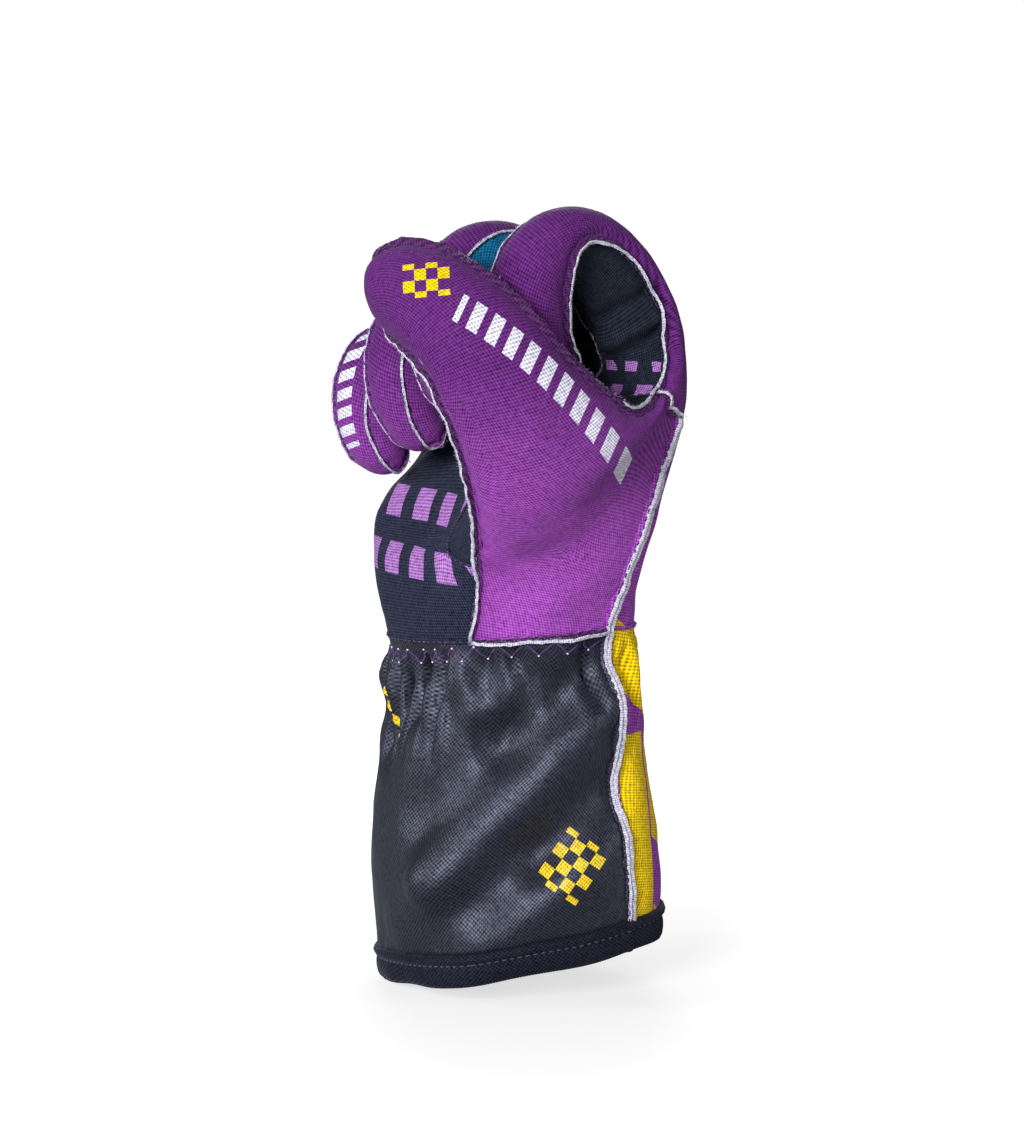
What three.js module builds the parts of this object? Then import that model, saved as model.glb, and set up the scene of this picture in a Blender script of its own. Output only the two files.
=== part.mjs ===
// Racing glove for the right hand, in the closed grip in which it is worn. Millimetres, +Z up.
// The forearm runs along +Z, the palm faces -X, the back of the hand +X and the thumb side -Y.
// The origin is the middle of the wrist. One quad cage, with rings of vertices round the trunk and
// round each finger, is rounded by a step of Catmull-Clark subdivision. The cage's faces carry the
// name of the cloth panel they belong to, and each panel becomes a closed wall of its own.
import * as THREE from "three";

// Driving sizes
const CLOTH = 1.5; // wall of the bonded knit
const BINDING = 3.2; // wall of the folded and stitched hem binding
const SEAM_GAP = 0.5; // clear width between two panels at a seam
const RIM_SLANT = 0.4; // how much further back the inner edge of a panel lies
const RING_SWELL = 1.1; // a ring of eight is drawn this much too large, since rounding shrinks it

// Numbers round a ring. The trunk's ring starts at the palm's thumb seam and runs over the palm to
// the little finger's side, then over the back of the hand and round the thumb side.
const TRUNK_POINTS = 20;
const FINGER_POINTS = 8;
const LITTLE_SEAM = 9; // the trunk's seam on the little finger's side
const BACK_SEAM = 18; // the trunk's seam between the back and the thumb side
const THUMB_MID = 19; // halfway between that seam and the palm's thumb seam

const { degToRad } = THREE.MathUtils;
const vector = (x, y, z) => new THREE.Vector3(x, y, z);
const table = (columns, rows) =>
  rows.map((row) => Object.fromEntries(columns.split(" ").map((name, i) => [name, row[i]])));

// Sections of the trunk from the hem up to the foot of the fingers. square below 1 fills out the
// corners of an oval, and slopeX and slopeY lean it. The two seam angles count from the thumb side
// towards the palm. gather pushes every second point in and out, thenar swells the ball of the
// thumb, and hollow draws the palm in under the fingertips.
const TRUNK = table(
  "name x y z halfWidth halfDepth square slopeX slopeY thumbSeam backSeam gather thenar hollow",
  [
    ["hemFoot", 4.5, -1, -87, 41, 35.5, 1, 0.115, -0.155, 70, -13, 0, 0, 0],
    ["hemTop", 5.5, -1.5, -79.5, 42.5, 36.5, 1, 0.115, -0.155, 70, -13, 0, 0, 0],
    ["cuffLow", 3.5, -1, -62, 43.8, 37.5, 1, 0.07, -0.1, 70, -13, 0, 0, 0],
    ["cuffMid", 3, -0.5, -42, 42.5, 35.5, 1, 0.04, -0.05, 70, -12, 0, 0, 0],
    ["cuffHigh", 3, -1, -22, 40, 32, 1, 0.02, -0.02, 70, -11, 0.7, 0, 0],
    ["gathers", 4, -1, -7, 38.5, 29.5, 1, 0.015, -0.05, 71, -10, 1.1, 0, 0],
    ["wrist", 3, 0, 4.6, 38.5, 29.5, 1, 0.03, -0.1, 71, -10, 0, 0, 0],
    ["heel", 1, 0, 14, 42, 28.5, 0.95, 0.02, -0.06, 68, -13, 0, 1, 0],
    ["thumbFoot", 2, 0, 26, 45, 28.5, 0.88, 0, 0, 68, -20, 0, 4, 0],
    ["thumbMid", 8, 2.5, 45.5, 48, 30, 0.74, 0.15, -0.1, 66, -28, 0, 5, 10],
  ],
);

// Fingers from the foot to the tip. palmSeam is the angle of the seam beside the palm cloth on the
// thumb side, and backSeam that of the seam beside the back cloth, both counted from the middle of
// the finger's back. The index finger's palm cloth climbs over its side, so its seam winds.
const fingerTable = (rows) => table("x y z halfWidth halfDepth palmSeam backSeam", rows);
const FINGERS = {
  index: {
    rows: fingerTable([
      [25.5, -33, 70.5, 12, 14.5, 116, 98],
      [23.2, -33.4, 80.5, 9.7, 13.4, 84, 60],
      [16.5, -33.4, 92, 10.2, 12.6, 54, 30],
      [5.5, -33.4, 104, 10.3, 12, 48, 26],
      [-8, -33.3, 111.5, 10.2, 11.6, 66, 36],
      [-17.5, -33, 105, 9.9, 10.8, 110, 52],
      [-19.5, -32.8, 93.5, 9.6, 10.2, 138, 56],
      [-18, -32.6, 84, 9.2, 9.4, 138, 54],
      [-11.8, -32.2, 77, 8.2, 8.2, 136, 52],
      [-7.6, -32, 74.6, 5.6, 5.4, 134, 52],
    ]),
    tip: [-5.2, -32, 73.4],
  },
  middle: {
    rows: fingerTable([
      [22, -11, 72.5, 11.3, 13.5, 128, 52],
      [17.5, -11, 83, 9.4, 12.4, 128, 52],
      [7, -11, 95.5, 10, 11.6, 128, 52],
      [-6, -11, 105, 10.1, 11.2, 128, 52],
      [-17.5, -11, 107, 10.1, 11, 128, 52],
      [-26.5, -11, 100, 10, 10.4, 128, 52],
      [-28.5, -11, 88, 9.8, 10, 128, 52],
      [-27, -11, 77, 9.5, 9.2, 128, 52],
      [-21.8, -11, 68.8, 8.3, 8, 128, 52],
      [-17.8, -11, 65.6, 5.6, 5.4, 128, 52],
    ]),
    tip: [-15.6, -11, 64],
  },
  ring: {
    rows: fingerTable([
      [18, 11, 67, 11.1, 13, 128, 52],
      [12.5, 11, 76.5, 9.2, 11.8, 128, 52],
      [1.5, 11, 86, 9.8, 11.2, 128, 52],
      [-11.5, 11, 92, 10, 10.8, 128, 52],
      [-22, 11, 89, 9.9, 10.4, 128, 52],
      [-26.5, 11, 78.5, 9.7, 9.8, 128, 52],
      [-25, 11, 67.5, 9.4, 9.1, 128, 52],
      [-20, 11, 59.4, 8.2, 7.9, 128, 52],
      [-16.2, 11, 56.2, 5.5, 5.3, 128, 52],
    ]),
    tip: [-14, 11, 54.6],
  },
  little: {
    rows: fingerTable([
      [13.5, 32, 59, 10.5, 12, 128, 52],
      [8, 31.8, 67.5, 8.5, 10.4, 128, 52],
      [-1.5, 31.6, 75.5, 8.9, 10, 128, 52],
      [-11.5, 31.5, 80, 9.1, 9.8, 128, 52],
      [-19.5, 31.5, 76.5, 8.9, 9.4, 128, 52],
      [-22.5, 31.5, 66.5, 8.7, 9, 128, 52],
      [-21, 31.5, 56.5, 8.5, 8.4, 128, 52],
      [-15.6, 31.5, 50.2, 7.6, 7.3, 128, 52],
      [-12, 31.5, 49.2, 5.2, 5, 128, 52],
    ]),
    tip: [-9.8, 31.5, 48.8],
  },
};
const AWAY_PALM_SEAM = 128; // the same two seams on the side away from the thumb
const AWAY_BACK_SEAM = 52;
const fingers = Object.values(FINGERS);

// The thumb from its root over the grip to the tip. The broad side faces between the thumb side
// and the palm. upperSeam and lowerSeam are the angles of its two seams from the broad side's middle.
const THUMB_FACING = 40;
const THUMB = table("x y z halfWidth halfDepth upperSeam lowerSeam", [
  [-15.5, -42.5, 50.5, 24, 16, 98, 92],
  [-28, -45.5, 63.5, 19, 11.5, 100, 92],
  [-36.6, -45, 74.5, 16.4, 10.2, 100, 92],
  [-41.6, -42.2, 84, 14.8, 9.2, 100, 92],
  [-44.2, -35, 91, 13.8, 9, 98, 92],
  [-45.2, -24, 96.4, 13.2, 8.8, 96, 92],
  [-45.3, -13.5, 98.6, 12, 8.2, 92, 92],
  [-45, -6.5, 98.6, 9.8, 6.8, 90, 90],
  [-44.8, -3.3, 98.2, 6.2, 4.4, 90, 90],
]);
const THUMB_TIP = [-44.6, -1.2, 98];

// Broad folds: a soft ridge along a line, or a valley where the height is negative.
const FOLDS = table("place x1 y1 z1 x2 y2 z2 reach height", [
  ["crest over the cuff", 4, -38, -14, -32, -9, -62, 15, 2.4],
  ["valley under the wrist", 2, -37, -3, -22, -22, -24, 13, -2.2],
  ["valley at the cuff's thumb seam", 3, -39, -30, -14, -34, -38, 12, -2],
  ["crest above the hem", -3, -40, -53, -27, -19, -77, 12, 1.4],
  ["pleat on the little finger's side", -26, 2, -4, -26, 18, -27, 11, -2.4],
  ["dent along the thumb", -49, -46, 81, -43, -50, 67, 13, -1.6],
  ["dent in the ball of the thumb", -15, -42, 28, -22, -26, 17, 13, -1.4],
  ["crease across the palm", -20, -8, 34, -16, 30, 30, 10, -1.6],
]);

// Cage: a list of points and of quads, each with the panel that it is cut from.
const points = [];
const quads = [];
const addPoint = (p) => points.push(p) - 1;
const addQuad = (panel, ...corners) => quads.push({ panel, corners });

// The angles round a trunk section, spread evenly between its seams.
function trunkAngles({ thumbSeam, backSeam }) {
  const littleSeam = 180 - backSeam;
  const between = (from, to, first, last, i) => from + ((to - from) * (i - first)) / (last - first);
  return Array.from({ length: TRUNK_POINTS }, (_, i) => {
    if (i <= LITTLE_SEAM) return between(thumbSeam, littleSeam, 0, LITTLE_SEAM, i);
    if (i <= BACK_SEAM) return between(littleSeam, 360 + backSeam, LITTLE_SEAM, BACK_SEAM, i);
    return between(backSeam, thumbSeam, BACK_SEAM, TRUNK_POINTS, i);
  }).map(degToRad);
}

// The hollow is deepest between points 2 and 3 and fades out over three points to each side.
const HOLLOW_MIDDLE = 2.5;
const HOLLOW_REACH = 3;
function hollowShare(i) {
  const share = Math.abs(i - HOLLOW_MIDDLE) / HOLLOW_REACH;
  return share < 1 ? Math.cos((Math.PI / 2) * share) ** 2 : 0;
}

function trunkRing(section) {
  const { x, y, z, halfWidth, halfDepth, square, slopeX, slopeY, gather, thenar, hollow } = section;
  const corner = (value) => Math.sign(value) * Math.abs(value) ** square;
  return trunkAngles(section).map((angle, i) => {
    const swell = [THUMB_MID, 0, 1].includes(i) ? thenar : 0;
    const puff = swell + (i % 2 ? gather : -gather);
    const dx = hollow * hollowShare(i) - (halfDepth + puff) * corner(Math.sin(angle));
    const dy = -(halfWidth + puff) * corner(Math.cos(angle));
    return vector(x + dx, y + dy, z + dx * slopeX + dy * slopeY);
  });
}

// The direction of a run of centres at number i.
function tangentAt(centres, i) {
  const from = centres[Math.max(0, i - 1)];
  const to = centres[Math.min(centres.length - 1, i + 1)];
  return to.clone().sub(from).normalize();
}

// Eight points round a centre: an oval whose depth runs along deep and whose width runs along wide,
// at angles that count from deep towards wide.
const ovalRing = (centre, deep, wide, { halfDepth, halfWidth }, angles) =>
  angles.map(degToRad).map((a) =>
    centre
      .clone()
      .addScaledVector(deep, halfDepth * RING_SWELL * Math.cos(a))
      .addScaledVector(wide, halfWidth * RING_SWELL * Math.sin(a)),
  );
const squareTo = (direction, along) => direction.addScaledVector(along, -direction.dot(along)).normalize();
const UP = vector(0, 0, 1);

// A ring of a finger. Point 0 is the palm seam on the thumb side, 1 the middle of the palm side, 2
// the other palm seam and 5 the middle of the back. The foot of a finger stands more upright.
function fingerRing(rows, i) {
  const centres = rows.map(({ x, y, z }) => vector(x, y, z));
  const along = tangentAt(centres, i);
  if (i === 0) along.add(UP).normalize();
  const toThumb = squareTo(vector(0, -1, 0), along);
  const back = along.clone().cross(toThumb);
  const { palmSeam, backSeam } = rows[i];
  const awaySide = (AWAY_PALM_SEAM + AWAY_BACK_SEAM) / 2;
  const angles = [palmSeam, 180, -AWAY_PALM_SEAM, -awaySide, -AWAY_BACK_SEAM, 0];
  return ovalRing(centres[i], back, toThumb, rows[i], [...angles, backSeam, (backSeam + palmSeam) / 2]);
}

// A ring of the thumb. Points 1 and 5 are its lower and upper seam and 7 the middle of the broad side.
function thumbRing(i) {
  const centres = THUMB.map(({ x, y, z }) => vector(x, y, z));
  const along = tangentAt(centres, i);
  const facing = degToRad(THUMB_FACING);
  const out = squareTo(vector(-Math.sin(facing), -Math.cos(facing), 0), along);
  const down = out.clone().cross(along);
  const { upperSeam, lowerSeam } = THUMB[i];
  const lower = [lowerSeam / 2, lowerSeam, (lowerSeam + 180) / 2];
  const upper = [-(upperSeam + 180) / 2, -upperSeam, -upperSeam / 2];
  return ovalRing(centres[i], out, down, THUMB[i], [...lower, 180, ...upper, 0]);
}

// Where the eight foot points of finger f lie: numbers are those of the trunk's ring, and the
// names crotch1 to crotch3 are the points midway between two fingers.
function footKeys(f) {
  const side = (k) => ["" + THUMB_MID, "crotch1", "crotch2", "crotch3", "" + LITTLE_SEAM][k];
  const palm = [2 * f, 2 * f + 1, 2 * f + 2].map(String);
  const back = [16 - 2 * f, 17 - 2 * f, 18 - 2 * f].map(String);
  return [...palm, side(f + 1), ...back, side(f)];
}

// The foot of the fingers. Two neighbours share points, which lie midway between their two ovals.
function footPoints() {
  const shared = {};
  fingers.forEach(({ rows }, f) => {
    const ring = fingerRing(rows, 0);
    footKeys(f).forEach((key, i) => (shared[key] ??= []).push(ring[i]));
  });
  const middle = (group) => group.reduce((sum, p) => sum.add(p), vector(0, 0, 0)).divideScalar(group.length);
  return Object.fromEntries(Object.entries(shared).map(([key, group]) => [key, addPoint(middle(group))]));
}
const foot = footPoints();
const trunkRings = TRUNK.map((section) => trunkRing(section).map(addPoint));
trunkRings.push(Array.from({ length: TRUNK_POINTS }, (_, i) => foot[i]));

// Panel of the trunk face between points k and k + 1, in the band above ring b. The thumb grows
// from the four faces that have none.
const bandOf = (name) => TRUNK.findIndex((section) => section.name === name);
function trunkPanel(k, b) {
  const back = k >= LITTLE_SEAM && k < BACK_SEAM;
  if (b < bandOf("hemTop")) return "hem_binding";
  if (b < bandOf("wrist")) return back ? "cuff_back" : "cuff_palm";
  if (b >= bandOf("thumbFoot") && (k === THUMB_MID || k === 0)) return null;
  if (back) return "back_panel";
  return k >= BACK_SEAM ? "thumb_panel" : "palm_panel";
}
function buildTrunk() {
  trunkRings.slice(1).forEach((high, b) => {
    const low = trunkRings[b];
    for (let k = 0; k < TRUNK_POINTS; k++) {
      const panel = trunkPanel(k, b);
      const n = (k + 1) % TRUNK_POINTS;
      if (panel) addQuad(panel, low[k], high[k], high[n], low[n]);
    }
  });
}

// A tube of rings that grows from a loop of eight, closed by four quads at the tip.
function growTube(loop, rings, tip, panelOf) {
  let low = loop;
  for (const ring of rings) {
    const high = ring.map(addPoint);
    for (let k = 0; k < FINGER_POINTS; k++) {
      const n = (k + 1) % FINGER_POINTS;
      addQuad(panelOf(k), low[k], high[k], high[n], low[n]);
    }
    low = high;
  }
  const end = addPoint(vector(...tip));
  for (let k = 0; k < FINGER_POINTS; k += 2) {
    const before = (k + FINGER_POINTS - 1) % FINGER_POINTS;
    addQuad(panelOf(k, true), low[before], end, low[k + 1], low[k]);
  }
}

// Which panel strip k of finger f is: the palm cloth, the back cloth or a side strip.
const fingerPanel = (f) => (k, atTip) => {
  if (atTip) return k <= 2 ? "palm_panel" : "back_panel";
  if (k <= 1) return "palm_panel";
  if (k <= 3) return f === fingers.length - 1 ? "little_side" : "gusset_" + (f + 1);
  if (k <= 5 || f === 0) return "back_panel";
  return "gusset_" + f;
};
const thumbPanel = (k, atTip) => {
  const outer = atTip ? k === 0 || k === 6 : k === 0 || k >= 5;
  return outer ? "thumb_panel" : "thumb_inner";
};

function buildFingers() {
  fingers.forEach(({ rows, tip }, f) => {
    const rings = rows.slice(1).map((_, i) => fingerRing(rows, i + 1));
    growTube(footKeys(f).map((key) => foot[key]), rings, tip, fingerPanel(f));
  });
}

// The thumb's loop runs round the hole in the trunk: points 19, 0 and 1 of its last three rings.
function buildThumb() {
  const [low, mid, high] = trunkRings.slice(bandOf("thumbFoot"));
  const lowAndInner = [low[THUMB_MID], low[0], low[1], mid[1]];
  const loop = [...lowAndInner, high[1], high[0], high[THUMB_MID], mid[THUMB_MID]];
  growTube(loop, THUMB.map((_, i) => thumbRing(i)), THUMB_TIP, thumbPanel);
}
buildTrunk();
buildFingers();
buildThumb();

// The edges of a net of quads, each with the numbers of the faces beside it.
const edgeKey = (a, b) => (a < b ? a + "_" + b : b + "_" + a);
function edgesOf(net) {
  const edges = new Map();
  net.forEach(({ corners }, f) =>
    corners.forEach((a, i) => {
      const b = corners[(i + 1) % 4];
      const key = edgeKey(a, b);
      if (!edges.has(key)) edges.set(key, { a, b, faces: [] });
      edges.get(key).faces.push(f);
    }),
  );
  return edges;
}

// One step of Catmull-Clark subdivision. The only open edge is the hem, which keeps its own curve.
function subdivide(oldPoints, oldQuads) {
  const newPoints = oldPoints.map(() => vector(0, 0, 0));
  const add = (p) => newPoints.push(p) - 1;
  const mean = (...group) => group.reduce((sum, p) => sum.add(p), vector(0, 0, 0)).divideScalar(group.length);
  const centres = oldQuads.map(({ corners }) => mean(...corners.map((v) => oldPoints[v])));
  const around = oldPoints.map(() => ({ centres: [], middles: [], open: [] }));
  const edges = edgesOf(oldQuads);
  for (const edge of edges.values()) {
    const ends = [oldPoints[edge.a], oldPoints[edge.b]];
    const isOpen = edge.faces.length === 1;
    const middle = mean(...ends);
    edge.id = add(isOpen ? middle.clone() : mean(...ends, ...edge.faces.map((f) => centres[f])));
    for (const v of [edge.a, edge.b]) around[v][isOpen ? "open" : "middles"].push(middle);
  }
  const centreIds = centres.map(add);
  oldQuads.forEach(({ corners }, f) => corners.forEach((v) => around[v].centres.push(centres[f])));
  around.forEach(({ centres: near, middles, open }, v) => {
    const n = near.length;
    if (open.length) newPoints[v].copy(mean(oldPoints[v], mean(...open)));
    else newPoints[v].copy(mean(...near)).addScaledVector(mean(...middles), 2).divideScalar(n);
    if (!open.length) newPoints[v].addScaledVector(oldPoints[v], (n - 3) / n);
  });
  const newQuads = oldQuads.flatMap(({ panel, corners }, f) =>
    corners.map((v, i) => {
      const next = edges.get(edgeKey(v, corners[(i + 1) % 4])).id;
      const last = edges.get(edgeKey(corners[(i + 3) % 4], v)).id;
      return { panel, corners: [v, next, centreIds[f], last] };
    }),
  );
  return [newPoints, newQuads];
}
const [surface, faces] = subdivide(points, quads);

// Normals of the whole surface, out of the glove.
function surfaceNormals() {
  const sums = surface.map(() => vector(0, 0, 0));
  for (const { corners } of faces) {
    const [a, b, c, d] = corners.map((v) => surface[v]);
    const n = c.clone().sub(a).cross(d.clone().sub(b));
    corners.forEach((v) => sums[v].add(n));
  }
  return sums.map((n) => n.normalize());
}

// How far the folds push a point of the surface out.
function foldHeight(p) {
  return FOLDS.reduce((sum, { x1, y1, z1, x2, y2, z2, reach, height }) => {
    const line = new THREE.Line3(vector(x1, y1, z1), vector(x2, y2, z2));
    const share = line.closestPointToPoint(p, true, vector(0, 0, 0)).distanceTo(p) / reach;
    return share < 1 ? sum + height * (1 - share ** 2) ** 2 : sum;
  }, 0);
}
function addFolds() {
  surfaceNormals().forEach((n, v) => surface[v].addScaledVector(n, foldHeight(surface[v])));
}
addFolds();
const normals = surfaceNormals();

// The edges of a panel that no other face of it shares, in the direction of their face.
function rimOf(own) {
  const around = ({ corners }) => corners.map((a, i) => a + "_" + corners[(i + 1) % 4]);
  const directed = new Set(own.flatMap(around));
  const pairs = [...directed].map((key) => key.split("_").map(Number));
  return pairs.filter(([a, b]) => !directed.has(b + "_" + a));
}

// For each point on a panel's rim, the direction from its seam into the panel.
function rimDirections(rim) {
  const directions = new Map();
  for (const [a, b] of rim) {
    const edge = surface[b].clone().sub(surface[a]);
    for (const v of [a, b]) {
      const inward = normals[v].clone().cross(edge).normalize();
      directions.set(v, (directions.get(v) ?? vector(0, 0, 0)).add(inward));
    }
  }
  return directions;
}

// A panel as a closed wall: its outer skin, the same skin drawn in by the cloth's thickness, and a
// rim between them. The rim keeps half of the seam's gap clear of the neighbouring panel.
function panelGeometry(panel, wall) {
  const own = faces.filter((face) => face.panel === panel);
  const rim = rimOf(own);
  const directions = rimDirections(rim);
  const ids = new Map();
  const outer = [];
  const inner = [];
  for (const v of own.flatMap(({ corners }) => corners)) {
    if (ids.has(v)) continue;
    ids.set(v, outer.length);
    const inward = (directions.get(v) ?? vector(0, 0, 0)).normalize();
    const skin = surface[v].clone().addScaledVector(inward, SEAM_GAP / 2);
    outer.push(skin);
    inner.push(skin.clone().addScaledVector(inward, RIM_SLANT).addScaledVector(normals[v], -wall));
  }
  const count = outer.length;
  const index = [];
  const quad = (a, b, c, d) => index.push(a, b, c, a, c, d);
  for (const { corners } of own) {
    const [a, b, c, d] = corners.map((v) => ids.get(v));
    quad(a, b, c, d);
    quad(count + d, count + c, count + b, count + a);
  }
  for (const [a, b] of rim.map((pair) => pair.map((v) => ids.get(v)))) quad(b, a, count + a, count + b);
  const geometry = new THREE.BufferGeometry();
  geometry.setFromPoints([...outer, ...inner]);
  geometry.setIndex(index);
  return geometry;
}

const CLOTH_ROUGHNESS = 0.85;
const dyed = (color) => new THREE.MeshStandardMaterial({ color, roughness: CLOTH_ROUGHNESS, metalness: 0 });
const purple = dyed("#6f2f8a");
const black = dyed("#22242e");
const PANELS = {
  back_panel: { material: purple, wall: CLOTH },
  palm_panel: { material: black, wall: CLOTH },
  thumb_panel: { material: purple, wall: CLOTH },
  thumb_inner: { material: black, wall: CLOTH },
  gusset_1: { material: dyed("#00618f"), wall: CLOTH },
  gusset_2: { material: purple, wall: CLOTH },
  gusset_3: { material: purple, wall: CLOTH },
  little_side: { material: purple, wall: CLOTH },
  cuff_palm: { material: dyed("#2b2d38"), wall: CLOTH },
  cuff_back: { material: purple, wall: CLOTH },
  hem_binding: { material: dyed("#171a22"), wall: BINDING },
};

const glove = new THREE.Group();
for (const [name, { material, wall }] of Object.entries(PANELS)) {
  const mesh = new THREE.Mesh(panelGeometry(name, wall), material);
  mesh.name = name;
  glove.add(mesh);
}

export default glove;
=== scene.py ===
"""Racing glove for the right hand, worn in a closed grip: the cloth, seams, stitches and prints."""

import logging
import math
import random
from dataclasses import dataclass
from enum import Enum
from typing import Callable, Iterable, Sequence

import bmesh
import bpy
import numpy as np
from mathutils import Matrix, Vector, noise
from mathutils.bvhtree import BVHTree
from mathutils.kdtree import KDTree


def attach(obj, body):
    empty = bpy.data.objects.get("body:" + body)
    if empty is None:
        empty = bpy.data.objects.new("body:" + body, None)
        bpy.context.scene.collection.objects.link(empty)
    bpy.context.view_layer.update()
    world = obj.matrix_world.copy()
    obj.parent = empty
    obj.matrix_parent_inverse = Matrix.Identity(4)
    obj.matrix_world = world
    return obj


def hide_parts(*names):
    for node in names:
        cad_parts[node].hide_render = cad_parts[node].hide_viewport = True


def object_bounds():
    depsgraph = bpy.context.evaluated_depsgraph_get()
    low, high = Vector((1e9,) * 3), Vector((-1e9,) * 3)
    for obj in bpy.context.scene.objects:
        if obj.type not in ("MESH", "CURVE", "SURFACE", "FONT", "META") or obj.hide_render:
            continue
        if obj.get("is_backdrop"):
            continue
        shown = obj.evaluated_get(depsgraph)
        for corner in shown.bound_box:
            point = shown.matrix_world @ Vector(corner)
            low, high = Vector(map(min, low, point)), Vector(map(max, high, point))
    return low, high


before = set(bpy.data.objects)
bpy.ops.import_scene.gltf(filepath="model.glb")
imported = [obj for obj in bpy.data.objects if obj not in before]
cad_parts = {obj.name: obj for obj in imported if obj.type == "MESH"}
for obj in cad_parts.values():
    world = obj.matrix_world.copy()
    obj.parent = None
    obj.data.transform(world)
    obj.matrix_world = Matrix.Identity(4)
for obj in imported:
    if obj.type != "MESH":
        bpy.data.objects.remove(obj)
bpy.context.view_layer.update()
LOG = logging.getLogger("glove")
MM = 0.001
BODY = "root"
UP = Vector((0, 0, 1))
Socket = bpy.types.NodeSocket


class Panel(Enum):
    """The cloth panels, in the order of their material numbers on the whole surface."""

    BACK = "back_panel"
    PALM = "palm_panel"
    THUMB = "thumb_panel"
    THUMB_INNER = "thumb_inner"
    GUSSET_1 = "gusset_1"
    GUSSET_2 = "gusset_2"
    GUSSET_3 = "gusset_3"
    LITTLE_SIDE = "little_side"
    CUFF_PALM = "cuff_palm"
    CUFF_BACK = "cuff_back"
    HEM = "hem_binding"

    @property
    def number(self) -> int:
        """Number of the panel on the whole surface."""
        return list(Panel).index(self)


class SeamKind(Enum):
    """How two panels are joined."""

    TURNED_OUT = "both raw edges stand outside"
    FLAT = "the edges lie down under a row of stitches"
    BOUND = "the binding covers the edge"


# Numbers of the points round the trunk, from the thumb's seam on the palm over the palm and the back
TRUNK_POINTS = 20
LITTLE_SEAM = 9
BACK_SEAM = 18
THUMB_MID = 19
PALM_MIDDLE = 4
BACK_MIDDLE = 13
# Rounding draws a ring of points in, so that a finger's ring is drawn larger
RING_SWELL = 1.1
# Angles of a finger's seams on the side away from the thumb, in degrees
AWAY_PALM_SEAM = 128
AWAY_BACK_SEAM = 52
# Point of a finger's or thumb's ring where its own cloth coordinates start
RING_START = 5
# Direction that the thumb's broad side faces, in degrees
THUMB_FACING = 40
# The hollow of the palm, in points of the ring
HOLLOW_MIDDLE = 2.5
HOLLOW_REACH = 3
# The middle of the wrist and its mean radius, in millimetres
WRIST_X = 3
WRIST_RADIUS = 36
# The thumb panel's upper corner on the back lies lower than its ring of points
THUMB_CORNER_DROPS = ((BACK_SEAM, (-3, -1.5, -12)), (THUMB_MID, (0.6, -1.2, 0)))


@dataclass(frozen=True)
class TrunkSection:
    """One ring of the hand and cuff, in millimetres and degrees.

    Attributes:
        name: Its place on the glove.
        x: Its centre towards the back of the hand.
        y: Its centre towards the little finger.
        z: Its centre upwards.
        half_width: Half its size from the thumb's side to the little finger's.
        half_depth: Half its size from palm to back.
        square: 1 for an oval, less for fuller corners.
        slope_x: Its tilt towards the back.
        slope_y: Its tilt towards the little finger.
        thumb_seam: Angle of the seam between palm and thumb.
        back_seam: Angle of the seam on the back.
        gather: Depth of its pleats.
        thenar: Swell of the ball of the thumb.
        hollow: Depth of the palm's hollow.
    """

    name: str
    x: float
    y: float
    z: float
    half_width: float
    half_depth: float
    square: float
    slope_x: float
    slope_y: float
    thumb_seam: float
    back_seam: float
    gather: float
    thenar: float
    hollow: float


@dataclass(frozen=True)
class FingerSection:
    """One ring of a finger, in millimetres and degrees from the middle of its back.

    Attributes:
        x: Its centre towards the back of the hand.
        y: Its centre towards the little finger.
        z: Its centre upwards.
        half_width: Half its size from side to side.
        half_depth: Half its size from palm to back.
        palm_seam: Angle of the palm's seam on the side towards the thumb.
        back_seam: Angle of the back's seam on that side.
    """

    x: float
    y: float
    z: float
    half_width: float
    half_depth: float
    palm_seam: float = AWAY_PALM_SEAM
    back_seam: float = AWAY_BACK_SEAM


@dataclass(frozen=True)
class ThumbSection:
    """One ring of the thumb, in millimetres and degrees from the middle of its broad side.

    Attributes:
        x: Its centre towards the back of the hand.
        y: Its centre towards the little finger.
        z: Its centre upwards.
        half_width: Half its size across the broad side.
        half_depth: Half its thickness.
        upper_seam: Angle of the seam on its upper edge.
        lower_seam: Angle of the seam on its lower edge.
    """

    x: float
    y: float
    z: float
    half_width: float
    half_depth: float
    upper_seam: float
    lower_seam: float


@dataclass(frozen=True)
class Fold:
    """A soft ridge of the cloth along a line, or a valley where its height is negative.

    Attributes:
        place: Where it lies.
        start: First end of the line, in millimetres.
        end: Its other end.
        reach: How far from the line the ridge goes, in millimetres.
        height: Height of the ridge, in millimetres.
    """

    place: str
    start: tuple[float, float, float]
    end: tuple[float, float, float]
    reach: float
    height: float


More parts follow.
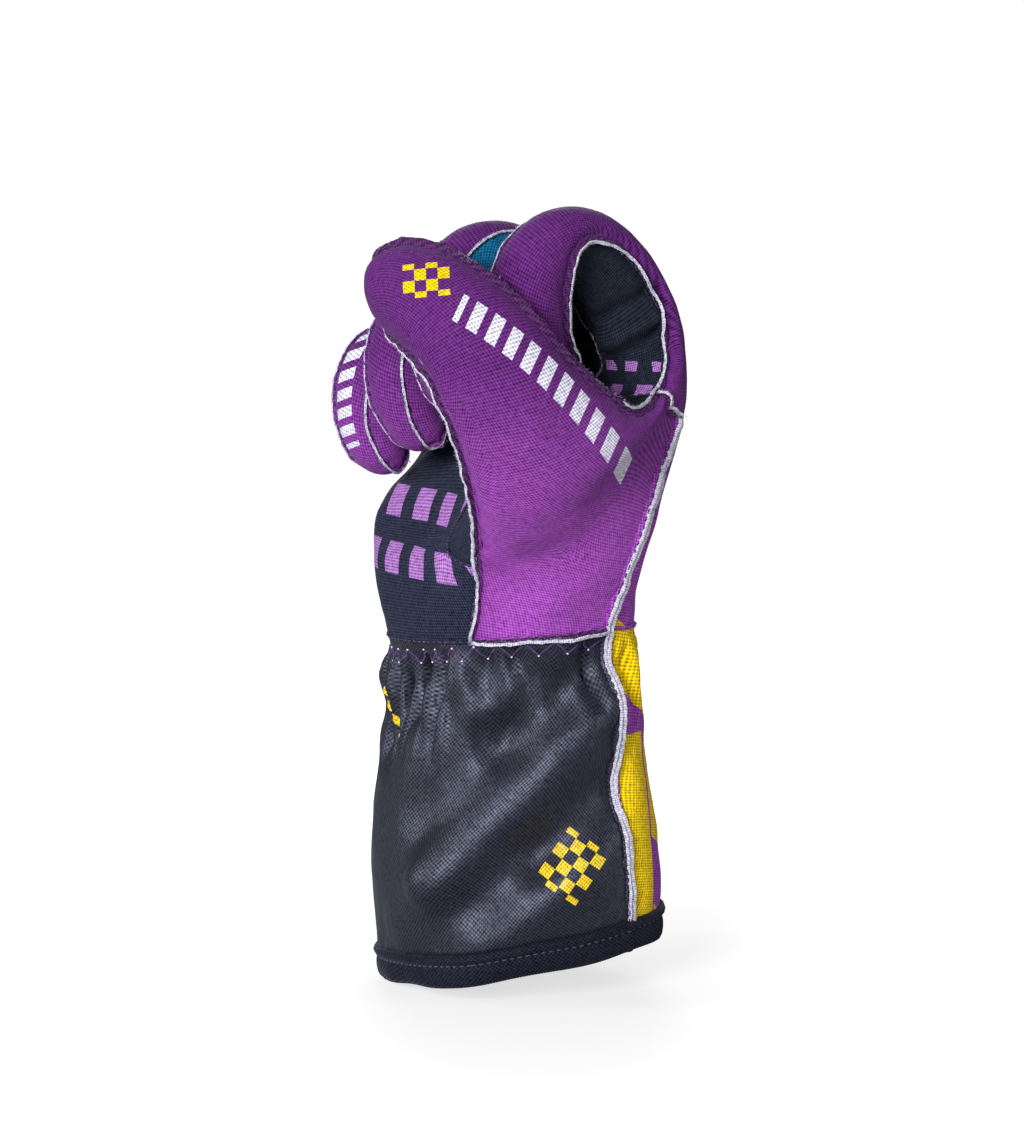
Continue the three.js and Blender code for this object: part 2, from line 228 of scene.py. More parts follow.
TRUNK = tuple(
    TrunkSection(*row)
    for row in (
        ("hem_foot", 4.5, -1, -87, 41, 35.5, 1, 0.115, -0.155, 70, -13, 0, 0, 0),
        ("hem_top", 5.5, -1.5, -79.5, 42.5, 36.5, 1, 0.115, -0.155, 70, -13, 0, 0, 0),
        ("cuff_low", 3.5, -1, -62, 43.8, 37.5, 1, 0.07, -0.1, 70, -13, 0, 0, 0),
        ("cuff_mid", 3, -0.5, -42, 42.5, 35.5, 1, 0.04, -0.05, 70, -12, 0, 0, 0),
        ("cuff_high", 3, -1, -22, 40, 32, 1, 0.02, -0.02, 70, -11, 0.7, 0, 0),
        ("gathers", 4, -1, -7, 38.5, 29.5, 1, 0.015, -0.05, 71, -10, 1.1, 0, 0),
        ("wrist", 3, 0, 4.6, 38.5, 29.5, 1, 0.03, -0.1, 71, -10, 0, 0, 0),
        ("heel", 1, 0, 14, 42, 28.5, 0.95, 0.02, -0.06, 68, -13, 0, 1, 0),
        ("thumb_foot", 2, 0, 26, 45, 28.5, 0.88, 0, 0, 68, -20, 0, 4, 0),
        ("thumb_mid", 8, 2.5, 45.5, 48, 30, 0.74, 0.15, -0.1, 66, -28, 0, 5, 10),
    )
)

INDEX = tuple(
    FingerSection(*row)
    for row in (
        (25.5, -33, 70.5, 12, 14.5, 116, 98),
        (23.2, -33.4, 80.5, 9.7, 13.4, 84, 60),
        (16.5, -33.4, 92, 10.2, 12.6, 54, 30),
        (5.5, -33.4, 104, 10.3, 12, 48, 26),
        (-8, -33.3, 111.5, 10.2, 11.6, 66, 36),
        (-17.5, -33, 105, 9.9, 10.8, 110, 52),
        (-19.5, -32.8, 93.5, 9.6, 10.2, 138, 56),
        (-18, -32.6, 84, 9.2, 9.4, 138, 54),
        (-11.8, -32.2, 77, 8.2, 8.2, 136, 52),
        (-7.6, -32, 74.6, 5.6, 5.4, 134, 52),
    )
)
MIDDLE = tuple(
    FingerSection(*row)
    for row in (
        (22, -11, 72.5, 11.3, 13.5),
        (17.5, -11, 83, 9.4, 12.4),
        (7, -11, 95.5, 10, 11.6),
        (-6, -11, 105, 10.1, 11.2),
        (-17.5, -11, 107, 10.1, 11),
        (-26.5, -11, 100, 10, 10.4),
        (-28.5, -11, 88, 9.8, 10),
        (-27, -11, 77, 9.5, 9.2),
        (-21.8, -11, 68.8, 8.3, 8),
        (-17.8, -11, 65.6, 5.6, 5.4),
    )
)
RING = tuple(
    FingerSection(*row)
    for row in (
        (18, 11, 67, 11.1, 13),
        (12.5, 11, 76.5, 9.2, 11.8),
        (1.5, 11, 86, 9.8, 11.2),
        (-11.5, 11, 92, 10, 10.8),
        (-22, 11, 89, 9.9, 10.4),
        (-26.5, 11, 78.5, 9.7, 9.8),
        (-25, 11, 67.5, 9.4, 9.1),
        (-20, 11, 59.4, 8.2, 7.9),
        (-16.2, 11, 56.2, 5.5, 5.3),
    )
)
LITTLE = tuple(
    FingerSection(*row)
    for row in (
        (13.5, 32, 59, 10.5, 12),
        (8, 31.8, 67.5, 8.5, 10.4),
        (-1.5, 31.6, 75.5, 8.9, 10),
        (-11.5, 31.5, 80, 9.1, 9.8),
        (-19.5, 31.5, 76.5, 8.9, 9.4),
        (-22.5, 31.5, 66.5, 8.7, 9),
        (-21, 31.5, 56.5, 8.5, 8.4),
        (-15.6, 31.5, 50.2, 7.6, 7.3),
        (-12, 31.5, 49.2, 5.2, 5),
    )
)
FINGERS = (
    (INDEX, (-5.2, -32, 73.4)),
    (MIDDLE, (-15.6, -11, 64)),
    (RING, (-14, 11, 54.6)),
    (LITTLE, (-9.8, 31.5, 48.8)),
)
THUMB = tuple(
    ThumbSection(*row)
    for row in (
        (-15.5, -42.5, 50.5, 24, 16, 98, 92),
        (-28, -45.5, 63.5, 19, 11.5, 100, 92),
        (-36.6, -45, 74.5, 16.4, 10.2, 100, 92),
        (-41.6, -42.2, 84, 14.8, 9.2, 100, 92),
        (-44.2, -35, 91, 13.8, 9, 98, 92),
        (-45.2, -24, 96.4, 13.2, 8.8, 96, 92),
        (-45.3, -13.5, 98.6, 12, 8.2, 92, 92),
        (-45, -6.5, 98.6, 9.8, 6.8, 90, 90),
        (-44.8, -3.3, 98.2, 6.2, 4.4, 90, 90),
    )
)
THUMB_TIP = (-44.6, -1.2, 98)

FOLDS = tuple(
    Fold(*row)
    for row in (
        ("crest over the cuff", (5, -38, -13), (-32, -9, -60), 11, 4.8),
        ("foot of that crest", (-32, -9, -60), (-34, 4, -74), 13, 1.8),
        ("valley under the wrist", (3, -37, -2), (-22, -24, -22), 11, -4.2),
        ("lower end of that valley", (-22, -24, -22), (-36, -4, -42), 12, -2.8),
        ("valley at the cuff's thumb seam", (3, -39, -36), (-16, -33, -51), 12, -5.2),
        ("lower end of that second valley", (-16, -33, -51), (-27, -23, -66), 10, -2.6),
        ("crest above the hem", (-3, -40, -55), (-27, -19, -77), 12, 1.6),
        ("pleat on the little finger's side", (-26, 2, -4), (-26, 18, -27), 10, -2.8),
        ("second pleat there", (-30, -8, -6), (-34, 6, -34), 8, 1.3),
        ("dent along the thumb", (-49, -46, 81), (-43, -50, 67), 13, -1.6),
        ("dent in the ball of the thumb", (-15, -42, 28), (-22, -26, 17), 13, -1.4),
        ("roll along the thumb's lower seam", (-33, -30, 62), (-30, -22, 28), 9, 1.0),
        ("crease across the palm", (-20, -8, 34), (-16, 30, 30), 10, -1.6),
        ("upper crease inside the index finger", (5, -32, 87.5), (19, -43, 96), 5, -3.8),
        ("lower crease inside the index finger", (10, -30, 76), (20, -40, 85), 5.5, -3.8),
        ("roll between those creases", (7, -32, 82), (18, -41, 90.5), 5, 2.6),
    )
)


def running_lengths(ring: Sequence[Vector]) -> list[float]:
    """Lengths along a closed ring of points.

    Args:
        ring: Points in millimetres.

    Returns:
        Length from the first point to each point and back to the first one.
    """
    lengths = [0.0]
    for i, point in enumerate(ring):
        lengths.append(lengths[-1] + (ring[(i + 1) % len(ring)] - point).length)
    return lengths


class GloveCage:
    """The coarse net of quads that the glove's surface is rounded from."""

    def __init__(self) -> None:
        """Starts an empty net with a layer for the cloth's own coordinates."""
        self.bm = bmesh.new()
        self.uv = self.bm.loops.layers.uv.new("cloth")
        self.places: dict[bmesh.types.BMVert, Vector] = {}

    def add_point(self, point: Vector) -> bmesh.types.BMVert:
        """Adds a point given in millimetres."""
        vert = self.bm.verts.new(point * MM)
        self.places[vert] = point
        return vert

    def add_quad(
        self,
        panel: Panel,
        corners: Sequence[bmesh.types.BMVert],
        cloth: Sequence[tuple[float, float]],
    ) -> None:
        """Adds a face of a panel.

        Args:
            panel: The panel it is cut from.
            corners: Its four points.
            cloth: The same points on the flat cloth, in millimetres.
        """
        face = self.bm.faces.new(corners)
        face.material_index = panel.number
        face.smooth = True
        for loop, (u, v) in zip(face.loops, cloth):
            loop[self.uv].uv = (u * MM, v * MM)

    @staticmethod
    def trunk_angles(section: TrunkSection) -> list[float]:
        """Angles of a trunk ring's points in radians, evenly spread between the seams."""
        little = 180 - section.back_seam
        angles = []
        for i in range(TRUNK_POINTS):
            if i <= LITTLE_SEAM:
                share, low, high = i / LITTLE_SEAM, section.thumb_seam, little
            elif i <= BACK_SEAM:
                share = (i - LITTLE_SEAM) / (BACK_SEAM - LITTLE_SEAM)
                low, high = little, 360 + section.back_seam
            else:
                share = (i - BACK_SEAM) / (TRUNK_POINTS - BACK_SEAM)
                low, high = section.back_seam, section.thumb_seam
            angles.append(math.radians(low + (high - low) * share))
        return angles

    def trunk_ring(self, section: TrunkSection) -> list[Vector]:
        """Points of a trunk section."""

        def corner(value: float) -> float:
            """Fills out the corners of an oval."""
            return math.copysign(abs(value) ** section.square, value)

        ring = []
        for i, angle in enumerate(self.trunk_angles(section)):
            share = abs(i - HOLLOW_MIDDLE) / HOLLOW_REACH
            hollow = math.cos(math.pi / 2 * share) ** 2 if share < 1 else 0
            puff = section.thenar if i in (THUMB_MID, 0, 1) else 0
            puff += section.gather if i % 2 else -section.gather
            dx = section.hollow * hollow - (section.half_depth + puff) * corner(math.sin(angle))
            dy = -(section.half_width + puff) * corner(math.cos(angle))
            dz = dx * section.slope_x + dy * section.slope_y
            ring.append(Vector((section.x + dx, section.y + dy, section.z + dz)))
        return ring

    @staticmethod
    def along(rows: Sequence, i: int) -> Vector:
        """Direction of a run of ring centres at ring i."""
        before, after = rows[max(0, i - 1)], rows[min(len(rows) - 1, i + 1)]
        return Vector((after.x - before.x, after.y - before.y, after.z - before.z)).normalized()

    @staticmethod
    def oval(
        row: FingerSection | ThumbSection, deep: Vector, wide: Vector, degrees: Iterable[float]
    ) -> list[Vector]:
        """Points round the centre of a finger's ring.

        Args:
            row: The section, with its centre and half sizes.
            deep: Direction of angle 0.
            wide: Direction of angle 90.
            degrees: Angles of the points.

        Returns:
            The points in millimetres.
        """
        centre = Vector((row.x, row.y, row.z))
        ring = []
        for angle in map(math.radians, degrees):
            across = deep * (row.half_depth * math.cos(angle)) + wide * (row.half_width * math.sin(angle))
            ring.append(centre + across * RING_SWELL)
        return ring

    def finger_ring(self, rows: Sequence[FingerSection], i: int) -> list[Vector]:
        """Points of ring i of a finger: 0 is its palm seam on the thumb side, 5 the middle of its back."""
        row = rows[i]
        along = self.along(rows, i)
        if i == 0:
            along = (along + UP).normalized()
        to_thumb = Vector((0, -1, 0))
        to_thumb = (to_thumb - along * to_thumb.dot(along)).normalized()
        side = (AWAY_PALM_SEAM + AWAY_BACK_SEAM) / 2
        degrees = [row.palm_seam, 180, -AWAY_PALM_SEAM, -side, -AWAY_BACK_SEAM, 0, row.back_seam]
        degrees.append((row.back_seam + row.palm_seam) / 2)
        return self.oval(row, along.cross(to_thumb), to_thumb, degrees)

    def thumb_ring(self, i: int) -> list[Vector]:
        """Points of ring i of the thumb: 1 and 5 are its seams and 7 the middle of its broad side."""
        row = THUMB[i]
        along = self.along(THUMB, i)
        facing = math.radians(THUMB_FACING)
        out = Vector((-math.sin(facing), -math.cos(facing), 0))
        out = (out - along * out.dot(along)).normalized()
        low, high = row.lower_seam, row.upper_seam
        degrees = [low / 2, low, (low + 180) / 2, 180, -(high + 180) / 2, -high, -high / 2, 0]
        return self.oval(row, out, out.cross(along), degrees)

    @staticmethod
    def foot_keys(finger: int) -> list[object]:
        """Keys of the eight foot points of a finger: trunk numbers, or the gap between two fingers."""
        sides = [THUMB_MID, "gap 1", "gap 2", "gap 3", LITTLE_SEAM]
        palm = [2 * finger + i for i in range(3)]
        back = [BACK_SEAM - 2 - 2 * finger + i for i in range(3)]
        return [*palm, sides[finger + 1], *back, sides[finger]]

    def build(self) -> bmesh.types.BMesh:
        """Builds the trunk, the fingers and the thumb.

        Returns:
            The whole cage, open only at the hem.
        """
        shared: dict[object, list[Vector]] = {}
        for finger, (rows, _) in enumerate(FINGERS):
            for key, point in zip(self.foot_keys(finger), self.finger_ring(rows, 0)):
                shared.setdefault(key, []).append(point)
        for key, drop in THUMB_CORNER_DROPS:
            shared[key] = [shared[key][0] + Vector(drop)]
        foot = {key: self.add_point(sum(group, Vector()) / len(group)) for key, group in shared.items()}
        rings = [[self.add_point(p) for p in self.trunk_ring(section)] for section in TRUNK]
        rings.append([foot[i] for i in range(TRUNK_POINTS)])
        self.add_trunk(rings)
        for finger, (rows, tip) in enumerate(FINGERS):
            loop = [foot[key] for key in self.foot_keys(finger)]
            grown = [self.finger_ring(rows, i) for i in range(1, len(rows))]
            self.grow(loop, grown, tip, self.finger_panels(finger))
        names = [section.name for section in TRUNK]
        low, mid, high = rings[names.index("thumb_foot"):]
        loop = [low[THUMB_MID], low[0], low[1], mid[1], high[1], high[0], high[THUMB_MID], mid[THUMB_MID]]
        self.grow(loop, [self.thumb_ring(i) for i in range(len(THUMB))], THUMB_TIP, self.thumb_panels)
        return self.bm

    def trunk_panel(self, k: int, band: str) -> Panel | None:
        """Panel of a trunk face, or none where the thumb grows out."""
        back = LITTLE_SEAM <= k < BACK_SEAM
        names = [section.name for section in TRUNK]
        b = names.index(band)
        if b < names.index("hem_top"):
            return Panel.HEM
        if b < names.index("wrist"):
            return Panel.CUFF_BACK if back else Panel.CUFF_PALM
        if b >= names.index("thumb_foot") and k in (THUMB_MID, 0):
            return None
        if back:
            return Panel.BACK
        return Panel.THUMB if k >= BACK_SEAM else Panel.PALM

    def add_trunk(self, rings: Sequence[Sequence[bmesh.types.BMVert]]) -> None:
        """Adds the faces between the trunk's rings."""
        lengths = [running_lengths([self.places[v] for v in ring]) for ring in rings]
        heights = [sum(self.places[v].z for v in ring) / len(ring) for ring in rings]
        for b, section in enumerate(TRUNK):
            low, high = rings[b], rings[b + 1]
            for k in range(TRUNK_POINTS):
                panel = self.trunk_panel(k, section.name)
                if panel is None:
                    continue
                n = (k + 1) % TRUNK_POINTS
                middle = BACK_MIDDLE if LITTLE_SEAM <= k < BACK_SEAM else PALM_MIDDLE
                cloth = []
                for i, ring in ((k, b), (k, b + 1), (k + 1, b + 1), (k + 1, b)):
                    turn = lengths[ring][-1] if k >= BACK_SEAM else 0
                    cloth.append((lengths[ring][i] - lengths[ring][middle] - turn, heights[ring]))
                self.add_quad(panel, (low[k], high[k], high[n], low[n]), cloth)

    def grow(
        self,
        loop: Sequence[bmesh.types.BMVert],
        rings: Sequence[Sequence[Vector]],
        tip: Sequence[float],
        panel_of: Callable[[int, bool], Panel],
    ) -> None:
        """Grows a tube of eight strips from a loop of points and closes its tip.

        Args:
            loop: The eight points it starts from.
            rings: The rings in order.
            tip: The point at its end, in millimetres.
            panel_of: Gives the panel of a strip, and of a quad of the tip.
        """
        low, height = list(loop), 0.0
        size = len(low)
        low_lengths = running_lengths([self.places[v] for v in low])
        for ring in rings:
            high = [self.add_point(point) for point in ring]
            lengths = running_lengths(ring)
            step = sum(((self.places[a] - self.places[b]).length for a, b in zip(low, high)), 0.0) / size
            for k in range(size):
                n = (k + 1) % size
                cloth = [
                    (low_lengths[k] - low_lengths[RING_START], height),
                    (lengths[k] - lengths[RING_START], height + step),
                    (lengths[k + 1] - lengths[RING_START], height + step),
                    (low_lengths[k + 1] - low_lengths[RING_START], height),
                ]
                self.add_quad(panel_of(k, False), (low[k], high[k], high[n], low[n]), cloth)
            low, low_lengths, height = high, lengths, height + step
        end_point = Vector(tip)
        end = self.add_point(end_point)
        for k in range(0, size, 2):
            corners = (low[k - 1], end, low[k + 1], low[k])
            drop = (self.places[low[k]] - end_point).length
            u = low_lengths[k] - low_lengths[RING_START]
            side = low_lengths[k + 1] - low_lengths[k]
            cloth = [(u - side, height), (u, height + drop), (u + side, height), (u, height)]
            self.add_quad(panel_of(k, True), corners, cloth)

    @staticmethod
    def finger_panels(finger: int) -> Callable[[int, bool], Panel]:
        """Gives the function that tells which panel a strip of this finger is."""
        gussets = (Panel.GUSSET_1, Panel.GUSSET_2, Panel.GUSSET_3, Panel.LITTLE_SIDE)

        def panel_of(k: int, at_tip: bool) -> Panel:
            """Panel of strip k."""
            if at_tip:
                return Panel.PALM if k <= 2 else Panel.BACK
            if k <= 1:
                return Panel.PALM
            if k <= 3:
                return gussets[finger]
            if k <= 5 or finger == 0:
                return Panel.BACK
            return gussets[finger - 1]

        return panel_of

    @staticmethod
    def thumb_panels(k: int, at_tip: bool) -> Panel:
        """Panel of strip k of the thumb."""
        outer = k in (0, 6) if at_tip else k == 0 or k >= 5
        return Panel.THUMB if outer else Panel.THUMB_INNER


def mesh_object(name: str, mesh: bpy.types.Mesh) -> bpy.types.Object:
    """Makes an object of a mesh and links it to the scene."""
    made = bpy.data.objects.new(name, mesh)
    bpy.context.scene.collection.objects.link(made)
    return made


def from_bmesh(name: str, bm: bmesh.types.BMesh) -> bpy.types.Object:
    """Makes an object of a bmesh and frees the bmesh."""
    mesh = bpy.data.meshes.new(name)
    bm.to_mesh(mesh)
    bm.free()
    mesh.polygons.foreach_set("use_smooth", np.ones(len(mesh.polygons), bool))
    return mesh_object(name, mesh)


@dataclass
class Seam:
    """A run of seam points on the surface, with the panels on its two sides."""

    points: np.ndarray
    normals: np.ndarray
    lefts: list[int]
    rights: list[int]
    closed: bool

    @property
    def middle(self) -> tuple[int, int]:
        """The two panels at the middle of the seam."""
        half = len(self.lefts) // 2
        return self.lefts[half], self.rights[half]

    @property
    def panels(self) -> frozenset:
        """The two panels that the seam joins for most of its length."""
        pairs = [frozenset(pair) for pair in zip(self.lefts, self.rights)]
        return max(set(pairs), key=pairs.count)


# For the two points of a seam edge, the panels to its left and right and the kind of the seam
SeamEdges = dict[tuple[int, int], tuple[int, int, SeamKind]]


class ClothSurface:
    """The rounded surface of the whole glove, before it is cut into panels."""

    # How often each face of the cage is divided
    LEVELS = 3
    # Height and length of the faint waves of the cloth, in millimetres
    WAVES = ((0.5, 17), (0.28, 6.5))
    # The pleats at the wrist in millimetres: where they start and end under the seam, their height and
    # pitch, how deep down they are highest, and how slowly they change downwards
    GATHER_TOP = 3.2
    GATHER_END = 45
    GATHER_HEIGHT = 3.3
    GATHER_PITCH = 3.1
    GATHER_PEAK = 5.5
    GATHER_LENGTH = 17
    # The puckers at a seam in millimetres: length, height and how far the thread draws the cloth in
    PUCKER_LENGTH = 3.6
    PUCKER_HEIGHT = 1.1
    PUCKER_DRAW = 0.25

    def __init__(self, cage: bmesh.types.BMesh) -> None:
        """Rounds the cage.

        Args:
            cage: The net of quads.
        """
        source = from_bmesh("cage", cage)
        for panel in Panel:
            source.data.materials.append(bpy.data.materials.new(panel.value))
        modifier = source.modifiers.new("round", "SUBSURF")
        modifier.levels = modifier.render_levels = self.LEVELS
        modifier.use_limit_surface = False
        depsgraph = bpy.context.evaluated_depsgraph_get()
        self.mesh = bpy.data.meshes.new_from_object(source.evaluated_get(depsgraph))
        coarse = source.data
        bpy.data.objects.remove(source)
        bpy.data.meshes.remove(coarse)

    @property
    def points(self) -> np.ndarray:
        """Positions in metres."""
        values = np.zeros(len(self.mesh.vertices) * 3)
        self.mesh.vertices.foreach_get("co", values)
        return values.reshape(-1, 3)

    @property
    def normals(self) -> np.ndarray:
        """Normals at the points."""
        values = np.zeros(len(self.mesh.vertices) * 3)
        self.mesh.vertex_normals.foreach_get("vector", values)
        return values.reshape(-1, 3)

    def push(self, heights: np.ndarray) -> None:
        """Moves each point along its normal by a height in millimetres."""
        moved = self.points + self.normals * (heights * MM)[:, None]
        self.mesh.vertices.foreach_set("co", moved.ravel())
        self.mesh.update()

    def fold(self, folds: Iterable[Fold]) -> None:
        """Presses the broad folds into the surface."""
        points = self.points / MM
        total = np.zeros(len(points))
        for fold in folds:
            start = np.array(fold.start, float)
            run = np.array(fold.end, float) - start
            share = np.clip((points - start) @ run / (run @ run), 0, 1)
            away = np.linalg.norm(points - start - share[:, None] * run, axis=1) / fold.reach
            total += fold.height * np.where(away < 1, (1 - np.minimum(away, 1) ** 2) ** 2, 0)
        self.push(total)

    def gather(self) -> None:
        """Presses the pleats under the wrist's elastic into the cuff."""
        heights = np.zeros(len(self.mesh.vertices))
        for i, (x, y, z) in enumerate((self.points / MM).tolist()):
            angle = math.atan2(WRIST_X - x, -y)
            depth = wrist_height(math.degrees(angle)) - self.GATHER_TOP - z
            if not 0 < depth < self.GATHER_END:
                continue
            # Fuller on the palm side, with a second, lower swell further down
            palm_side = 0.8 + 0.2 * math.sin(max(0.0, min(math.pi, angle - 0.35)))
            swell = (depth / self.GATHER_PEAK) * math.exp(1 - depth / self.GATHER_PEAK)
            swell += 0.4 * math.exp(-((depth - 15) / 12) ** 2)
            turn = angle * WRIST_RADIUS / self.GATHER_PITCH
            ripple = 2 * noise.noise(Vector((turn, depth / self.GATHER_LENGTH, 7)))
            heights[i] = self.GATHER_HEIGHT * palm_side * swell * (ripple - 0.35 * abs(ripple))
        self.push(heights)

    def undulate(self) -> None:
        """Gives the cloth its faint unevenness."""
        heights = []
        for point in (self.points / MM).tolist():
            heights.append(sum(height * noise.noise(Vector(point) / length) for height, length in self.WAVES))
        self.push(np.array(heights))

    def pucker(self, tracks: Sequence["Track"], reach: float = 7.0) -> None:
        """Draws the cloth in along the seams, where the thread pulls it.

        Args:
            tracks: The seams.
            reach: How far from a seam it shows, in millimetres.
        """
        count = sum(len(track.points) for track in tracks)
        tree = KDTree(count)
        runs, k = [], 0
        for n, track in enumerate(tracks):
            for i, point in enumerate(track.points):
                tree.insert(point, k)
                # Each seam has its own part of the noise
                runs.append((i * track.spacing / MM, 13.0 * n))
                k += 1
        tree.balance()
        heights = np.zeros(len(self.mesh.vertices))
        for i, point in enumerate(self.points):
            _, found, away = tree.find(point)
            away /= MM
            if away < reach:
                s, seed = runs[found]
                fade = (1 - away / reach) ** 2
                wave = noise.noise(Vector((s / self.PUCKER_LENGTH, seed, away / 9)))
                heights[i] = fade * (self.PUCKER_HEIGHT * wave - self.PUCKER_DRAW)
        self.push(heights)

    def seams(self) -> list[Seam]:
        """Traces the lines between panels.

        Returns:
            The seams as long smooth runs, with those of the same kind joined through corners.
        """
        points, normals = self.points, self.normals
        bm = bmesh.new()
        bm.from_mesh(self.mesh)
        edges: SeamEdges = {}
        ends: dict[int, list[int]] = {}
        for edge in bm.edges:
            if len(edge.link_faces) != 2:
                continue
            a, b = (v.index for v in edge.verts)
            first, second = edge.link_faces
            if first.material_index == second.material_index:
                continue
            run = edge.verts[1].co - edge.verts[0].co
            left = run.cross(edge.verts[0].normal).dot(first.calc_center_median() - edge.verts[0].co) > 0
            pair = (first, second) if left else (second, first)
            kind = seam_kind(first.material_index, second.material_index)
            edges[(a, b)] = (pair[0].material_index, pair[1].material_index, kind)
            ends.setdefault(a, []).append(b)
            ends.setdefault(b, []).append(a)
        bm.free()
        onward = self.pair_up(points, edges, ends)
        return self.trace(points, normals, edges, ends, onward)

    @staticmethod
    def pair_up(
        points: np.ndarray, edges: SeamEdges, ends: dict[int, list[int]]
    ) -> dict[tuple[int, int], int]:
        """Says where a seam goes on at each point.

        Args:
            points: Positions of the surface's points.
            edges: The seam edges.
            ends: The neighbours of each seam point along its seams.

        Returns:
            The next point, for a pair of a neighbour and the point that it leads to.
        """
        onward: dict[tuple[int, int], int] = {}
        for v, around in ends.items():
            choices = []
            for i, a in enumerate(around):
                for b in around[i + 1:]:
                    kinds = {(edges.get(key) or edges[key[::-1]])[2] for key in ((a, v), (b, v))}
                    if len(kinds) > 1:
                        continue
                    first, second = points[a] - points[v], points[b] - points[v]
                    turn = first @ second / (np.linalg.norm(first) * np.linalg.norm(second))
                    choices.append((turn, a, b))
            used = set()
            for turn, a, b in sorted(choices):
                if a in used or b in used or (turn > -0.5 and len(around) > 2) or turn > 0:
                    continue
                used |= {a, b}
                onward[(a, v)] = b
                onward[(b, v)] = a
        return onward

    @staticmethod
    def trace(
        points: np.ndarray,
        normals: np.ndarray,
        edges: SeamEdges,
        ends: dict[int, list[int]],
        onward: dict[tuple[int, int], int],
    ) -> list[Seam]:
        """Follows the seam edges into runs.

        Args:
            points: Positions of the surface's points.
            normals: Their normals.
            edges: The seam edges.
            ends: The neighbours of each seam point along its seams.
            onward: Where a seam goes on at each point.

        Returns:
            The seams.
        """
        seen: set[frozenset] = set()
        runs: list[Seam] = []

        def follow(a: int, b: int) -> list[int]:
            """Walks from a through b to the end of the run."""
            chain = [a, b]
            seen.add(frozenset((a, b)))
            while (chain[-2], chain[-1]) in onward:
                step = onward[(chain[-2], chain[-1])]
                if frozenset((chain[-1], step)) in seen:
                    break
                seen.add(frozenset((chain[-1], step)))
                chain.append(step)
            return chain

        starts = [(a, b) for a in ends for b in ends[a] if (b, a) not in onward]
        starts += list(edges)
        for a, b in starts:
            if frozenset((a, b)) in seen:
                continue
            chain = follow(a, b)
            lefts, rights = [], []
            for first, second in zip(chain, chain[1:]):
                if (first, second) in edges:
                    left, right, _ = edges[(first, second)]
                else:
                    right, left, _ = edges[(second, first)]
                lefts.append(left)
                rights.append(right)
            closed = chain[0] == chain[-1]
            runs.append(Seam(points[chain], normals[chain], lefts + lefts[-1:], rights + rights[-1:], closed))
        return runs


# Panels whose seam allowances are pressed flat
FLAT_PAIRS = (
    {Panel.BACK, Panel.CUFF_BACK},
    {Panel.PALM, Panel.CUFF_PALM},
    {Panel.PALM, Panel.THUMB_INNER},
)


def seam_kind(first: int, second: int) -> SeamKind:
    """Kind of the seam between two panels, which are given by number."""
    pair = {list(Panel)[first], list(Panel)[second]}
    if Panel.HEM in pair:
        return SeamKind.BOUND
    return SeamKind.FLAT if pair in FLAT_PAIRS else SeamKind.TURNED_OUT


def resample(values: np.ndarray, lengths: np.ndarray, at: np.ndarray) -> np.ndarray:
    """Values along a run at new lengths."""
    return np.stack([np.interp(at, lengths, values[:, i]) for i in range(values.shape[1])], axis=1)


def smoothed(values: np.ndarray, closed: bool, rounds: int) -> np.ndarray:
    """Evens out a run of points, with its ends kept."""
    values = values.copy()
    for _ in range(rounds):
        if closed:
            inner = values[:-1]
            inner = (np.roll(inner, 1, axis=0) + 2 * inner + np.roll(inner, -1, axis=0)) / 4
            values = np.vstack([inner, inner[:1]])
        else:
            values[1:-1] = (values[:-2] + 2 * values[1:-1] + values[2:]) / 4
    return values


